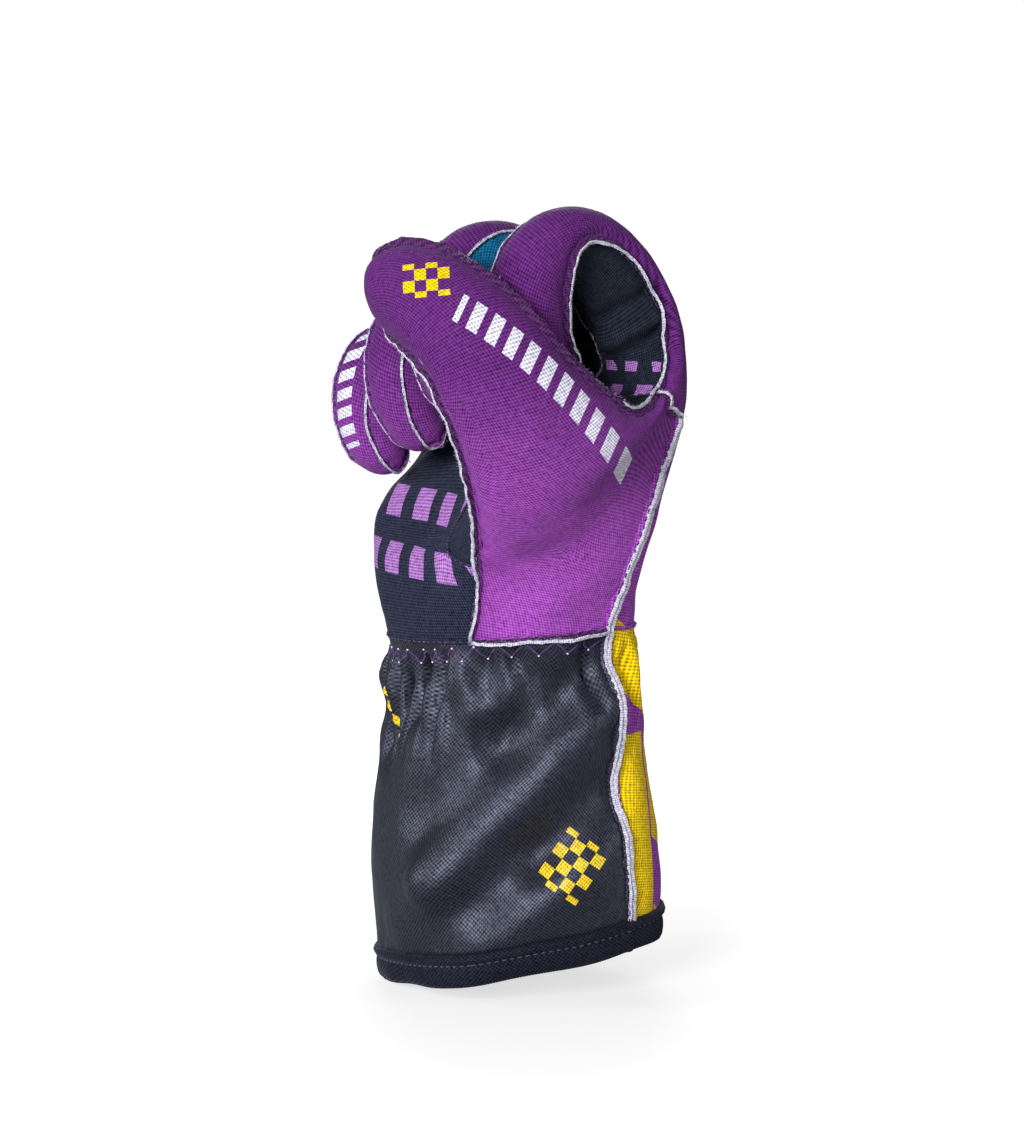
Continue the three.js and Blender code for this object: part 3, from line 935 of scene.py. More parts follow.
@dataclass
class Track:
    """Evenly spaced stations along a line on the cloth, each with its own directions."""

    points: np.ndarray
    along: np.ndarray
    normals: np.ndarray
    side: np.ndarray
    left: list[int]
    right: list[int]
    closed: bool
    spacing: float

    @classmethod
    def of_seam(cls, seam: Seam, spacing: float, rounds: int = 2) -> "Track":
        """Spaces stations along a seam.

        Args:
            seam: The seam.
            spacing: Distance between stations in millimetres.
            rounds: How often the seam's points are evened out.

        Returns:
            The track in metres.
        """
        points = smoothed(seam.points, seam.closed, rounds)
        normals = smoothed(seam.normals, seam.closed, rounds + 2)
        steps = np.linalg.norm(np.diff(points, axis=0), axis=1)
        lengths = np.concatenate([[0], np.cumsum(steps)])
        count = max(2, round(lengths[-1] / (spacing * MM)))
        at = np.linspace(0, lengths[-1], count + 1)
        nearest = np.clip(np.searchsorted(lengths, at) - 1, 0, len(seam.lefts) - 1)
        left = [seam.lefts[i] for i in nearest]
        right = [seam.rights[i] for i in nearest]
        return cls.of_points(
            resample(points, lengths, at), resample(normals, lengths, at), left, right, seam.closed
        )

    @classmethod
    def of_points(
        cls, points: np.ndarray, normals: np.ndarray, left: list[int], right: list[int], closed: bool
    ) -> "Track":
        """Works out the directions at each station.

        Args:
            points: The stations.
            normals: Directions away from the cloth.
            left: Number of the panel to the left of each station.
            right: Number of the panel to its right.
            closed: True if the last station is the first one again.

        Returns:
            The track.
        """
        if closed:
            ring = points[:-1]
            along = np.roll(ring, -1, axis=0) - np.roll(ring, 1, axis=0)
            along = np.vstack([along, along[:1]])
        else:
            along = np.gradient(points, axis=0)
        along /= np.linalg.norm(along, axis=1)[:, None]
        normals = normals - along * np.sum(normals * along, axis=1)[:, None]
        normals /= np.linalg.norm(normals, axis=1)[:, None]
        side = np.cross(along, normals)
        spacing = float(np.linalg.norm(points[1] - points[0]))
        return cls(points, along, normals, side, left, right, closed, spacing)

    def at(self, i: int, across: float, up: float) -> Vector:
        """A point beside station i, across to its left and up along its normal, in millimetres."""
        return Vector(self.points[i] + self.side[i] * across * MM + self.normals[i] * up * MM)

    def frame_at(self, i: int) -> Matrix:
        """Axes of station i: along the line, across it and up from the cloth."""
        rows = np.stack([self.along[i], self.side[i], self.normals[i]], axis=1)
        return Matrix(rows.tolist()).to_4x4()


def sweep(
    bm: bmesh.types.BMesh,
    sections: Sequence[Sequence[Vector]],
    closed: bool,
    finish_of: Callable[[int, int], int] | None = None,
) -> None:
    """Bends a grid to a tube along a row of sections, with the cloth's coordinates on its faces.

    Args:
        bm: The empty mesh that takes the faces.
        sections: The outline at each station, with the same number of points.
        closed: True if the last section is the first one again.
        finish_of: Gives the material number of strip j between stations i and i + 1.
    """
    uv = bm.loops.layers.uv.new("cloth")
    last, size = len(sections) - 1, len(sections[0])
    bmesh.ops.create_grid(bm, x_segments=last, y_segments=size, size=1)
    verts = list(bm.verts)
    spots = {vert: (k % (last + 1), k // (last + 1)) for k, vert in enumerate(verts)}
    around = running_lengths(sections[0])
    steps = [(b[0] - a[0]).length for a, b in zip(sections, sections[1:])]
    runs = np.concatenate([[0], np.cumsum(steps)]).tolist()
    for face in bm.faces:
        corners = [spots[vert] for vert in face.verts]
        i, j = min(i for i, _ in corners), min(j for _, j in corners)
        face.material_index = finish_of(i, j) if finish_of else 0
        for loop in face.loops:
            i, j = spots[loop.vert]
            loop[uv].uv = (runs[i], around[j])
    for vert, (i, j) in spots.items():
        vert.co = sections[i][j % size]
    welds = {}
    for vert, (i, j) in spots.items():
        home = (0 if closed and i == last else i) + (j % size) * (last + 1)
        if verts[home] is not vert:
            welds[vert] = verts[home]
    ends = [] if closed else [[verts[i + j * (last + 1)] for j in range(size)] for i in (0, last)]
    bmesh.ops.weld_verts(bm, targetmap=welds)
    for ring in ends:
        edges = [bm.edges.get((a, b)) for a, b in zip(ring, ring[1:] + ring[:1])]
        bmesh.ops.contextual_create(bm, geom=edges)
    bmesh.ops.recalc_face_normals(bm, faces=bm.faces)


def merge(whole: bmesh.types.BMesh, part: bmesh.types.BMesh) -> None:
    """Moves the faces of one bmesh into another."""
    mesh = bpy.data.meshes.new("part")
    part.to_mesh(mesh)
    part.free()
    whole.from_mesh(mesh)
    bpy.data.meshes.remove(mesh)


@dataclass(frozen=True)
class Ridge:
    """A seam whose two plies stand out of the glove, in millimetres.

    The raw edge covers the crest. Its groove parts the two plies.
    """

    height: float
    ply: float
    foot: float
    crest: float = 0.6
    groove: float = 0.3
    raw: bool = True
    # A flange's inner ply strips take the ply finish, which on purple cloth is a darker copy with painted
    # shade
    shaded_flange: bool = False
    spacing: float = 0.75
    wander: float = 0.25

    # Strips of the outline that are the left panel's ply and the right one's, and those left of the groove
    LEFT_STRIPS = (0, 1, 2)
    RIGHT_STRIPS = (8, 9, 10)
    LEFT_HALF = range(6)
    # Points of the outline on the raw edges, their roughness and that of the other points
    FRAYED = range(3, 9)
    FRAY = 0.13
    EVEN = 0.02
    # Lowest point of the outline, inside the cloth
    KEEL = -0.5
    # Lengths of the slow waves in which the ridge wanders, leans and rises, and their sizes
    WANDER_LENGTH = 9
    LEAN_LENGTH = 16
    RISE_LENGTH = 4
    LEAN = 1.1
    RISE = 0.3
    # Share of the height at a free end, and its growth from one station to the next
    END_HEIGHT = 0.55
    END_GROWTH = 0.15

    def outline(self, lean: float, rise: float) -> list[tuple[float, float]]:
        """Points across the seam and up from the cloth.

        Args:
            lean: How far the top leans to the left side.
            rise: Share of the full height.

        Returns:
            The outline from the left foot over the two raw edges to the right foot.
        """
        top = self.height * rise
        half = [
            (self.foot, -0.25),
            (1.3 * self.ply, 0.14 * top),
            (self.ply, 0.5 * (top - self.crest) + 0.05),
            (self.ply, top - self.crest + 0.1),
            (0.75 * self.ply, top),
            (0.1, top - self.groove),
        ]
        other = [(-across, up) for across, up in reversed(half)]
        leaning = [(across + lean * max(up, 0) / self.height, up) for across, up in [*half, *other]]
        return [*leaning, (0, self.KEEL)]

    def build(self, track: Track, rng: random.Random) -> bmesh.types.BMesh:
        """Sweeps the ridge along a track.

        Args:
            track: The stations along the seam.
            rng: Source of the small unevenness.

        Returns:
            The ridge. Material 0 is the raw edge; then come the panels' cloths and their plies, which on
            purple cloth are a darker copy with painted shade.
        """
        seed = rng.uniform(0, 100)
        count = len(track.points)
        radius = count * track.spacing / MM / (2 * math.pi)
        sections = []
        for i in range(count):
            turn = 2 * math.pi * i / (count - 1)
            spot = Vector((math.cos(turn) * radius, math.sin(turn) * radius, seed))
            if not track.closed:
                spot = Vector((i * track.spacing / MM, seed, 0))
            wander = self.wander * 2 * noise.noise(spot / self.WANDER_LENGTH)
            lean = self.LEAN * noise.noise(spot / self.LEAN_LENGTH + Vector((0, 0, 9)))
            rise = 1 + self.RISE * noise.noise(spot / self.RISE_LENGTH + Vector((0, 9, 0)))
            from_end = count if track.closed else min(i, count - 1 - i)
            rise *= min(1, self.END_HEIGHT + self.END_GROWTH * from_end)
            section = []
            for j, (across, up) in enumerate(self.outline(lean, rise)):
                rough = self.FRAY if j in self.FRAYED else self.EVEN
                across += wander + rng.uniform(-rough, rough)
                section.append(track.at(i, across, up + rng.uniform(-rough, rough)))
            sections.append(section)

        def finish_of(i: int, j: int) -> int:
            """Ply of the left panel, of the right one, or a raw edge."""
            if self.raw and j not in self.LEFT_STRIPS and j not in self.RIGHT_STRIPS:
                return 0
            panel = track.left[i] if j in self.LEFT_HALF else track.right[i]
            inner = j not in (self.LEFT_STRIPS[0], self.RIGHT_STRIPS[-1])
            return panel + 1 + (len(Panel) if self.shaded_flange and inner else 0)

        bm = bmesh.new()
        sweep(bm, sections, track.closed, finish_of)
        return bm


def ridge_for(panels: Iterable[int]) -> Ridge:
    """The ridge between two panels, which are given by number."""
    pair = {list(Panel)[number] for number in panels}
    if pair == {Panel.CUFF_PALM, Panel.CUFF_BACK}:
        return Ridge(height=1.8, ply=1.0, foot=2.0, crest=1.1, groove=0.9)
    if pair in FLAT_PAIRS:
        return Ridge(height=0.7, ply=0.5, foot=1.5, crest=0.3, groove=0.1, raw=False)
    if Panel.THUMB in pair:
        return Ridge(height=2.3, ply=0.38, foot=1.3, crest=0.6, shaded_flange=True)
    if pair == {Panel.PALM, Panel.BACK}:
        return Ridge(height=2.1, ply=0.42, foot=1.5, crest=0.55)
    return Ridge(height=1.4, ply=0.32, foot=1.1, crest=0.35)


def add_stitch(
    bm: bmesh.types.BMesh, track: Track, i: int, across: float, up: float, size: Sequence[float]
) -> None:
    """Adds one stitch, a small rounded grain of thread.

    Args:
        bm: The mesh that takes it.
        track: The stations that it follows.
        i: Its station.
        across: Place to the left of the line, in millimetres.
        up: Place above the cloth, in millimetres.
        size: Half length, half width and half height in millimetres.
    """
    place = Matrix.Translation(track.at(i, across, up)) @ track.frame_at(i)
    scale = Matrix.Diagonal((*[value * MM for value in size], 1))
    bmesh.ops.create_icosphere(bm, subdivisions=1, radius=1, matrix=place @ scale)


class SeamWork:
    """All seams of the glove: their ridges, stitches and fuzz."""

    # Distance between stitches, and half of a stitch's length, width and height, in millimetres
    STITCH_PITCH = 2.4
    STITCH = (0.85, 0.2, 0.24)
    # The loose fibres, in millimetres
    HAIRS_PER_MM = 5
    HAIR_RADIUS = 0.05
    HAIR_LENGTHS = (0.3, 0.85)
    # How often a seam's points are evened out
    SMOOTHING = 5
    # Direction from the thumb's lower side to its upper one, how far out the thumb's middle line lies in
    # it, and the height where the ply stops covering the raw edge, in millimetres
    THUMB_UP = (0.557, -0.347, 0.754)
    THUMB_AXIS_HEIGHT = 53.5
    COVER_END = 70

    def __init__(self, surface: ClothSurface, finishes: Sequence[bpy.types.Material]) -> None:
        """Takes the surface, and the finishes of the panels' cloths and then of their plies."""
        self.surface = surface
        self.finishes = finishes
        self.rng = random.Random(11)
        # Frayed raw edge: pale and fuzzy, with grey between the overlock loops
        self.raw = YarnFinish("raw_edge_fibre", "#F0EFFA", "#8F8CA8", wrap=0.6).material()
        # Dark purple sewing thread, a row of small dashes in the cloth
        self.thread = YarnFinish("purple_thread", "#4E2468", "#2F123F").material()
        # Yellow sewing thread on the striped back of the cuff
        self.fringe = YarnFinish("yellow_thread", "#D9C21E", "#A08A10").material()

    def build(self) -> list[bpy.types.Object]:
        """Makes a ridge for each seam, and the stitches and the fuzz of all."""
        pieces = []
        used: dict[str, int] = {}
        stitches, fringe, fuzz = bmesh.new(), bmesh.new(), bmesh.new()
        for seam in self.surface.seams():
            if seam_kind(*seam.middle) is SeamKind.BOUND or len(seam.points) < 4:
                continue
            ridge = ridge_for(seam.panels)
            track = Track.of_seam(seam, ridge.spacing, self.SMOOTHING)
            names = sorted(list(Panel)[number].value for number in seam.panels)
            name = "_".join(["seam", *names])
            used[name] = used.get(name, 0) + 1
            bm = ridge.build(track, self.rng)
            self.cover_upper_side(bm, track)
            piece = from_bmesh(f"{name}_{used[name]}", bm)
            for finish in (self.raw, *self.finishes):
                piece.data.materials.append(finish)
            pieces.append(piece)
            merge(stitches, self.stitches(track, ridge, Panel.CUFF_BACK.number, False))
            merge(fringe, self.stitches(track, ridge, Panel.CUFF_BACK.number, True))
            if ridge.raw:
                merge(fuzz, self.fuzz(track, ridge))
        for name, bm, finish in (
            ("seam_stitches", stitches, self.thread),
            ("seam_fringe", fringe, self.fringe),
            ("seam_fuzz", fuzz, self.raw),
        ):
            piece = from_bmesh(name, bm)
            piece.data.materials.append(finish)
            pieces.append(piece)
        return pieces

    def cover_upper_side(self, bm: bmesh.types.BMesh, track: Track) -> None:
        """Gives the raw edge on the thumb's upper side the thumb panel's ply finish, as if the ply were
        turned over it: a darker copy of the purple knit with painted shade.

        Args:
            bm: The ridge of a seam.
            track: The seam's stations.
        """
        uv = bm.loops.layers.uv["cloth"]
        thumb = {Panel.THUMB.number, Panel.THUMB_INNER.number}
        for face in bm.faces:
            i = min(int(face.loops[0][uv].uv.x / track.spacing), len(track.points) - 1)
            middle = face.calc_center_median() / MM
            upper = middle.dot(Vector(self.THUMB_UP)) > self.THUMB_AXIS_HEIGHT and middle.z > self.COVER_END
            if face.material_index == 0 and upper and {track.left[i], track.right[i]} == thumb:
                face.material_index = 1 + len(Panel) + Panel.THUMB.number

    def stitches(self, track: Track, ridge: Ridge, special: int, wanted: bool) -> bmesh.types.BMesh:
        """Makes the stitches that close a seam.

        Args:
            track: The seam's stations.
            ridge: Its ridge.
            special: Number of the panel that takes another thread.
            wanted: True for the stitches on that panel only, or False for the others.

        Returns:
            The stitches.
        """
        bm = bmesh.new()
        every = max(1, round(self.STITCH_PITCH * MM / track.spacing))
        for i in range(1, len(track.points) - 1, every):
            for side, panel in ((1, track.left[i]), (-1, track.right[i])):
                if (panel == special) is not wanted:
                    continue
                if ridge.raw:
                    add_stitch(bm, track, i, side * (ridge.ply + 0.1), 0.5 * ridge.height, self.STITCH)
                elif side == 1:
                    add_stitch(bm, track, i, 0, ridge.height, self.STITCH)
        return bm

    def fuzz(self, track: Track, ridge: Ridge) -> bmesh.types.BMesh:
        """Makes the short loose fibres along the raw edges of a seam."""
        bm = bmesh.new()
        count = int(len(track.points) * track.spacing / MM * self.HAIRS_PER_MM)
        for _ in range(count):
            i = self.rng.randrange(len(track.points))
            across = self.rng.uniform(-1, 1) * ridge.ply
            tilt = Matrix.Rotation(self.rng.gauss(0, 0.8), 4, "X")
            tilt = tilt @ Matrix.Rotation(self.rng.gauss(0, 1.0), 4, "Y")
            length = self.rng.uniform(*self.HAIR_LENGTHS) * MM
            root = track.at(i, across, ridge.height - self.rng.uniform(0.1, ridge.crest))
            foot = Matrix.Translation(root) @ track.frame_at(i)
            radius = self.HAIR_RADIUS * MM
            bmesh.ops.create_cone(
                bm,
                segments=3,
                radius1=radius,
                radius2=0.3 * radius,
                depth=length,
                cap_ends=False,
                matrix=foot @ tilt @ Matrix.Translation((0, 0, length / 2)),
            )
        return bm


def wrist_height(degrees: float) -> float:
    """Height of the wrist seam at an angle from the thumb side towards the palm, in millimetres."""
    wrist = next(section for section in TRUNK if section.name == "wrist")
    dx = -wrist.half_depth * math.sin(math.radians(degrees))
    dy = -wrist.half_width * math.cos(math.radians(degrees))
    return wrist.z + dx * wrist.slope_x + dy * wrist.slope_y


class WristWork:
    """The zigzag row that holds the wrist's elastic, with its white locking stitches."""

    # The thread's radius and height over the cloth, in millimetres
    RADIUS = 0.24
    LIFT = 0.12
    # The zigzag's period, swing and drop under the wrist seam, in millimetres
    PERIOD = 7.6
    SWING = 1.8
    DROP = 4.3
    # Where it starts and ends, in degrees from the thumb side towards the palm
    START = -5
    END = 186
    # Mean radius of the row in millimetres, which gives the number of its periods
    MEAN_RADIUS = 34
    # Stations in a period, and sides of the thread
    STEPS = 12
    SIDES = 6
    # Half of a locking stitch's length, width and height, and its place over the cloth, in millimetres
    KNOT = (0.36, 0.3, 0.26)
    KNOT_LIFT = 0.3
    # How far outside the glove the search for its face starts, in metres
    OUTSIDE = 0.12

    def __init__(self, surface: ClothSurface) -> None:
        """Takes the surface that the threads lie on."""
        bm = bmesh.new()
        bm.from_mesh(surface.mesh)
        self.tree = BVHTree.FromBMesh(bm)
        bm.free()
        # Thin purple thread that shows as a faint zigzag on the black cloth
        self.thread = YarnFinish("purple_zigzag_thread", "#5E3180", "#3D1B55").material()
        # White under thread, which shows as a dot at each turn
        self.knot = YarnFinish("white_thread", "#F4F4FA", "#CFCFDD").material()

    def track(self, places: Sequence[tuple[float, float]]) -> Track:
        """A track on the outer face through places given by angle and height."""
        points, normals = [], []
        for degrees, height in places:
            angle = math.radians(degrees)
            out = Vector((-math.sin(angle), -math.cos(angle), 0))
            axis = Vector((WRIST_X * MM, 0, height * MM))
            point, normal, _, _ = self.tree.ray_cast(axis + out * self.OUTSIDE, -out)
            points.append(point)
            normals.append(normal)
        none = [0] * len(points)
        return Track.of_points(np.array(points), np.array(normals), none, none, False)

    def build(self) -> list[bpy.types.Object]:
        """Makes the zigzag thread and its locking stitches."""
        turns = round(math.radians(self.END - self.START) * self.MEAN_RADIUS / self.PERIOD)
        steps = turns * self.STEPS
        places = []
        for i in range(steps + 1):
            swing = 4 * abs((i % self.STEPS) / self.STEPS - 0.5) - 1
            degrees = self.START + (self.END - self.START) * i / steps
            places.append((degrees, wrist_height(degrees) - self.DROP + self.SWING * swing))
        track = self.track(places)
        turned = [2 * math.pi * j / self.SIDES for j in range(self.SIDES)]
        ring = [(self.RADIUS * math.cos(a), self.LIFT + self.RADIUS * math.sin(a)) for a in turned]
        sections = [[track.at(i, across, up) for across, up in ring] for i in range(len(track.points))]
        bm = bmesh.new()
        sweep(bm, sections, False)
        zigzag = from_bmesh("wrist_zigzag", bm)
        zigzag.data.materials.append(self.thread)
        bm = bmesh.new()
        for i in range(0, steps, self.STEPS // 2):
            add_stitch(bm, track, i, 0, self.KNOT_LIFT, self.KNOT)
        knots = from_bmesh("wrist_locking_stitches", bm)
        knots.data.materials.append(self.knot)
        return [zigzag, knots]


class HemBinding:
    """The folded rib-knit band round the hem, with its rolled top edge and topstitching.

    The outline gives millimetres out from the cloth's hem line and up from the foot of the band.
    """

    # Distance between the ribs, their relief and the height of the band, in millimetres
    RIB_PITCH = 0.84
    RIB_RELIEF = 0.12
    HEIGHT = 7.5
    # Depth of the band's slow waves, and how many of them go on a metre
    SAG = 0.7
    WAVES = 40
    # Angle where the ends of the band meet in degrees, and the swell of their lap
    JOIN = -9.0
    LAP = 0.6
    LAP_MIDDLE = 1.6
    # The topstitching: rise over the foot, place out from the cloth, half sizes, and stations between
    STITCH_RISE = 5.3
    STITCH_OUT = 0.78
    STITCH = (0.75, 0.2, 0.2)
    STITCH_EVERY = 5
    OUTLINE = (
        (-1.7, 0.8), (-1.2, -0.5), (-0.2, -1.0), (0.7, -0.6), (1.2, 0.6), (1.35, 2.2), (1.25, 3.8),
        (0.95, 4.8), (0.6, 5.3), (1.0, 5.7), (1.65, 6.15), (1.8, 6.95), (1.45, 7.7), (0.6, 8.1),
        (-0.4, 8.0), (-1.4, 7.7), (-1.8, 6.6), (-1.85, 3.5),
    )
    # Points of the outline that follow the ribs, and those that swell at the lap
    RIBBED = range(2, 9)
    LAPPED = range(2, 14)

    def __init__(self, surface: ClothSurface) -> None:
        """Finds the cloth's hem line."""
        bound = [seam for seam in surface.seams() if seam_kind(*seam.middle) is SeamKind.BOUND]
        self.track = Track.of_seam(max(bound, key=lambda seam: len(seam.points)), self.RIB_PITCH / 2, 6)
        self.up = 1 if self.track.side[0][2] > 0 else -1

    def lap(self, i: int, centre: np.ndarray) -> float:
        """How far the band swells at station i where its ends are joined, in millimetres."""
        out = self.track.points[i] - centre
        gap = math.degrees(math.atan2(-out[0], -out[1])) - self.JOIN
        # Steeper on the side of the upper end's edge
        reach = 1.5 if gap > self.LAP_MIDDLE else 0.8
        return self.LAP * math.exp(-((gap - self.LAP_MIDDLE) / reach) ** 2)

    def build(self, finish: bpy.types.Material, thread: bpy.types.Material) -> list[bpy.types.Object]:
        """Sweeps the band, and adds its topstitching.

        Args:
            finish: The rib knit.
            thread: The topstitching.

        Returns:
            The band and its stitches.
        """
        track = self.track
        centre = track.points[:-1].mean(axis=0)
        sections, seats = [], []
        for i, point in enumerate(track.points):
            rib = self.RIB_RELIEF * (1 if i % 2 else -1)
            sag = self.SAG * noise.noise(Vector(point) * self.WAVES)
            lap = self.lap(i, centre)
            section = []
            for j, (out, rise) in enumerate(self.OUTLINE):
                swell = (rib if j in self.RIBBED else 0) + (lap if j in self.LAPPED else 0)
                section.append(track.at(i, self.up * (rise + sag - self.HEIGHT), out + swell))
            sections.append(section)
            seat = self.up * (self.STITCH_RISE + sag - self.HEIGHT)
            seats.append(track.at(i, seat, self.STITCH_OUT + lap))
        sections[-1], seats[-1] = sections[0], seats[0]
        bm = bmesh.new()
        sweep(bm, sections, True)
        band = from_bmesh("hem_rib_band", bm)
        band.data.materials.append(finish)
        line = Track.of_points(np.array(seats), track.normals, track.left, track.right, True)
        bm = bmesh.new()
        for i in range(0, len(seats) - 3, self.STITCH_EVERY):
            add_stitch(bm, line, i, 0, 0, self.STITCH)
        stitches = from_bmesh("hem_topstitching", bm)
        stitches.data.materials.append(thread)
        return [band, stitches]


class PanelCloth:
    """One cut panel of the glove's knit, with its wall and its reverse side."""

    # Thickness of the cloth, and how far its cut edge is drawn back from the seam, in millimetres
    WALL = 1.3
    DRAW_IN = 0.12

    def __init__(self, surface: ClothSurface, panel: Panel) -> None:
        """Takes the whole surface and the panel to cut from it."""
        self.surface = surface
        self.panel = panel

    def build(self, outside: bpy.types.Material, inside: bpy.types.Material) -> bpy.types.Object:
        """Cuts the panel out and gives it its thickness.

        Args:
            outside: Finish of the outer face.
            inside: Finish of the inner face.

        Returns:
            The piece, which stands for the CAD node of the panel.
        """
        bm = bmesh.new()
        bm.from_mesh(self.surface.mesh)
        away = [face for face in bm.faces if face.material_index != self.panel.number]
        bmesh.ops.delete(bm, geom=away, context="FACES")
        moves: dict[bmesh.types.BMVert, Vector] = {}
        for edge in bm.edges:
            if len(edge.link_faces) == 1:
                centre = edge.link_faces[0].calc_center_median()
                for vert in edge.verts:
                    moves[vert] = moves.get(vert, Vector()) + (centre - vert.co)
        for vert, move in moves.items():
            vert.co += move.normalized() * self.DRAW_IN * MM
        for face in bm.faces:
            face.material_index = 0
        piece = from_bmesh(self.panel.value + "_cloth", bm)
        piece.data.materials.append(outside)
        piece.data.materials.append(inside)
        wall = piece.modifiers.new("wall", "SOLIDIFY")
        wall.thickness = self.WALL * MM
        wall.offset = -1
        wall.material_offset = 1
        wall.material_offset_rim = 1
        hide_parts(self.panel.value)
        return piece


def add_node(tree: bpy.types.NodeTree, kind: str, links: dict | None = None, **settings) -> bpy.types.Node:
    """Adds a node with its settings and its inputs.

    Args:
        tree: The node tree.
        kind: Type name of the node.
        links: Input name or number, with the socket or the value that it takes.
        settings: Properties of the node.

    Returns:
        The node.
    """
    node = tree.nodes.new(kind)
    for name, value in settings.items():
        setattr(node, name, value)
    for name, source in (links or {}).items():
        if isinstance(source, bpy.types.NodeSocket):
            tree.links.new(source, node.inputs[name])
        else:
            node.inputs[name].default_value = source
    return node


def linear(hex_colour: str) -> tuple[float, float, float, float]:
    """Turns an sRGB hex colour to linear red, green, blue and alpha."""
    values = [int(hex_colour[i:i + 2], 16) / 255 for i in (1, 3, 5)]
    return (*[v / 12.92 if v <= 0.04045 else ((v + 0.055) / 1.055) ** 2.4 for v in values], 1.0)


@dataclass(frozen=True)
class Print:
    """A print in one colour, which fills a flat window held over the cloth, in millimetres.

    Attributes:
        colour: The ink.
        corner: A point in the middle of the window's first end.
        along: Direction of its length.
        across: Direction of its width.
        length: Its length.
        width: Its width.
        depth: How far from the window the cloth still takes ink.
        bow: How far its middle line bends towards across.
        slant: Lean of its ends and its motifs.
    """

    colour: str
    corner: tuple[float, float, float]
    along: tuple[float, float, float]
    across: tuple[float, float, float]
    length: float
    width: float
    depth: float = 15
    bow: float = 0
    slant: float = 0

    def motif(self, tree: bpy.types.NodeTree, u: Socket, v: Socket) -> list[Socket]:
        """Masks of the motif, which are 1 where there is ink. A plain print has none."""
        return []

    def over(self, tree: bpy.types.NodeTree, place: Socket, ground: Socket) -> Socket:
        """Lays the print over a colour.

        Args:
            tree: The material's tree.
            place: The object coordinates.
            ground: The colour under it.

        Returns:
            The colour with the print.
        """
        along, across = Vector(self.along).normalized(), Vector(self.across).normalized()
        start = [value * MM for value in self.corner]
        offset = add_node(tree, "ShaderNodeVectorMath", {0: place, 1: start}, operation="SUBTRACT").outputs[0]
        lengths = []
        for axis in (along + across * self.slant, across, along.cross(across).normalized()):
            dot = add_node(tree, "ShaderNodeVectorMath", {0: offset, 1: axis / MM}, operation="DOT_PRODUCT")
            lengths.append(dot.outputs["Value"])
        u, v, away = lengths
        if self.bow:
            rest = add_node(tree, "ShaderNodeMath", {0: self.length, 1: u}, operation="SUBTRACT").outputs[0]
            arch = add_node(tree, "ShaderNodeMath", {0: u, 1: rest}, operation="MULTIPLY").outputs[0]
            drop = -4 * self.bow / self.length**2
            bent = {0: arch, 1: drop, 2: v}
            v = add_node(tree, "ShaderNodeMath", bent, operation="MULTIPLY_ADD").outputs[0]
        half = self.length / 2
        ink = add_node(tree, "ShaderNodeMath", {0: away, 1: 0, 2: self.depth}, operation="COMPARE").outputs[0]
        masks = self.motif(tree, u, v)
        for value, middle, reach in ((u, half, half), (v, 0, self.width / 2)):
            limit = {0: value, 1: middle, 2: reach}
            masks.append(add_node(tree, "ShaderNodeMath", limit, operation="COMPARE").outputs[0])
        for mask in masks:
            ink = add_node(tree, "ShaderNodeMath", {0: ink, 1: mask}, operation="MULTIPLY").outputs[0]
        layers = {0: ink, 6: ground, 7: linear(self.colour)}
        return add_node(tree, "ShaderNodeMix", layers, data_type="RGBA").outputs[2]


@dataclass(frozen=True)
class Bars(Print):
    """A row of bars.

    Attributes:
        pitch: Distance from bar to bar, in millimetres.
        share: Share of it that a bar covers.
    """

    pitch: float = 5.8
    share: float = 0.58

    def motif(self, tree: bpy.types.NodeTree, u: Socket, v: Socket) -> list[Socket]:
        """1 on a bar."""
        wave = add_node(tree, "ShaderNodeMath", {0: u, 1: self.pitch / 2}, operation="PINGPONG").outputs[0]
        limit = self.share * self.pitch / 2
        return [add_node(tree, "ShaderNodeMath", {0: wave, 1: limit}, operation="LESS_THAN").outputs[0]]


@dataclass(frozen=True)
class Chequer(Print):
    """A field of chequered squares.

    Attributes:
        cell: Side of a square, in millimetres.
    """

    cell: float = 3

    def motif(self, tree: bpy.types.NodeTree, u: Socket, v: Socket) -> list[Socket]:
        """1 on every second square."""
        spot = add_node(tree, "ShaderNodeCombineXYZ", {0: u, 1: v, 2: self.cell / 2}).outputs[0]
        squares = {"Vector": spot, "Scale": 1 / self.cell}
        return [add_node(tree, "ShaderNodeTexChecker", squares).outputs["Fac"]]


@dataclass(frozen=True)
class Pads(Print):
    """Rows of grip pads, every second row shifted by half a pad.

    Attributes:
        pitch: Distance from pad to pad along a row, in millimetres.
        row: Distance from row to row.
        gap: Distance between two pads.
    """

    pitch: float = 14
    row: float = 14
    gap: float = 6

    def motif(self, tree: bpy.types.NodeTree, u: Socket, v: Socket) -> list[Socket]:
        """1 on a pad."""
        spot = add_node(tree, "ShaderNodeCombineXYZ", {0: u, 1: v}).outputs[0]
        sizes = {"Scale": 1.0, "Mortar Size": self.gap / 2, "Mortar Smooth": 0.0}
        sizes |= {"Brick Width": self.pitch, "Row Height": self.row}
        gaps = add_node(tree, "ShaderNodeTexBrick", {"Vector": spot, **sizes}).outputs["Fac"]
        return [add_node(tree, "ShaderNodeMath", {0: gaps, 1: 0.5}, operation="LESS_THAN").outputs[0]]


# Inks: bright yellow, a greyish white, lilac and black, all matt like the cloth under them
YELLOW = "#E4C200"
WHITE = "#D2D0E2"
LILAC = "#9E6CB3"
INK_BLACK = "#1B1D28"
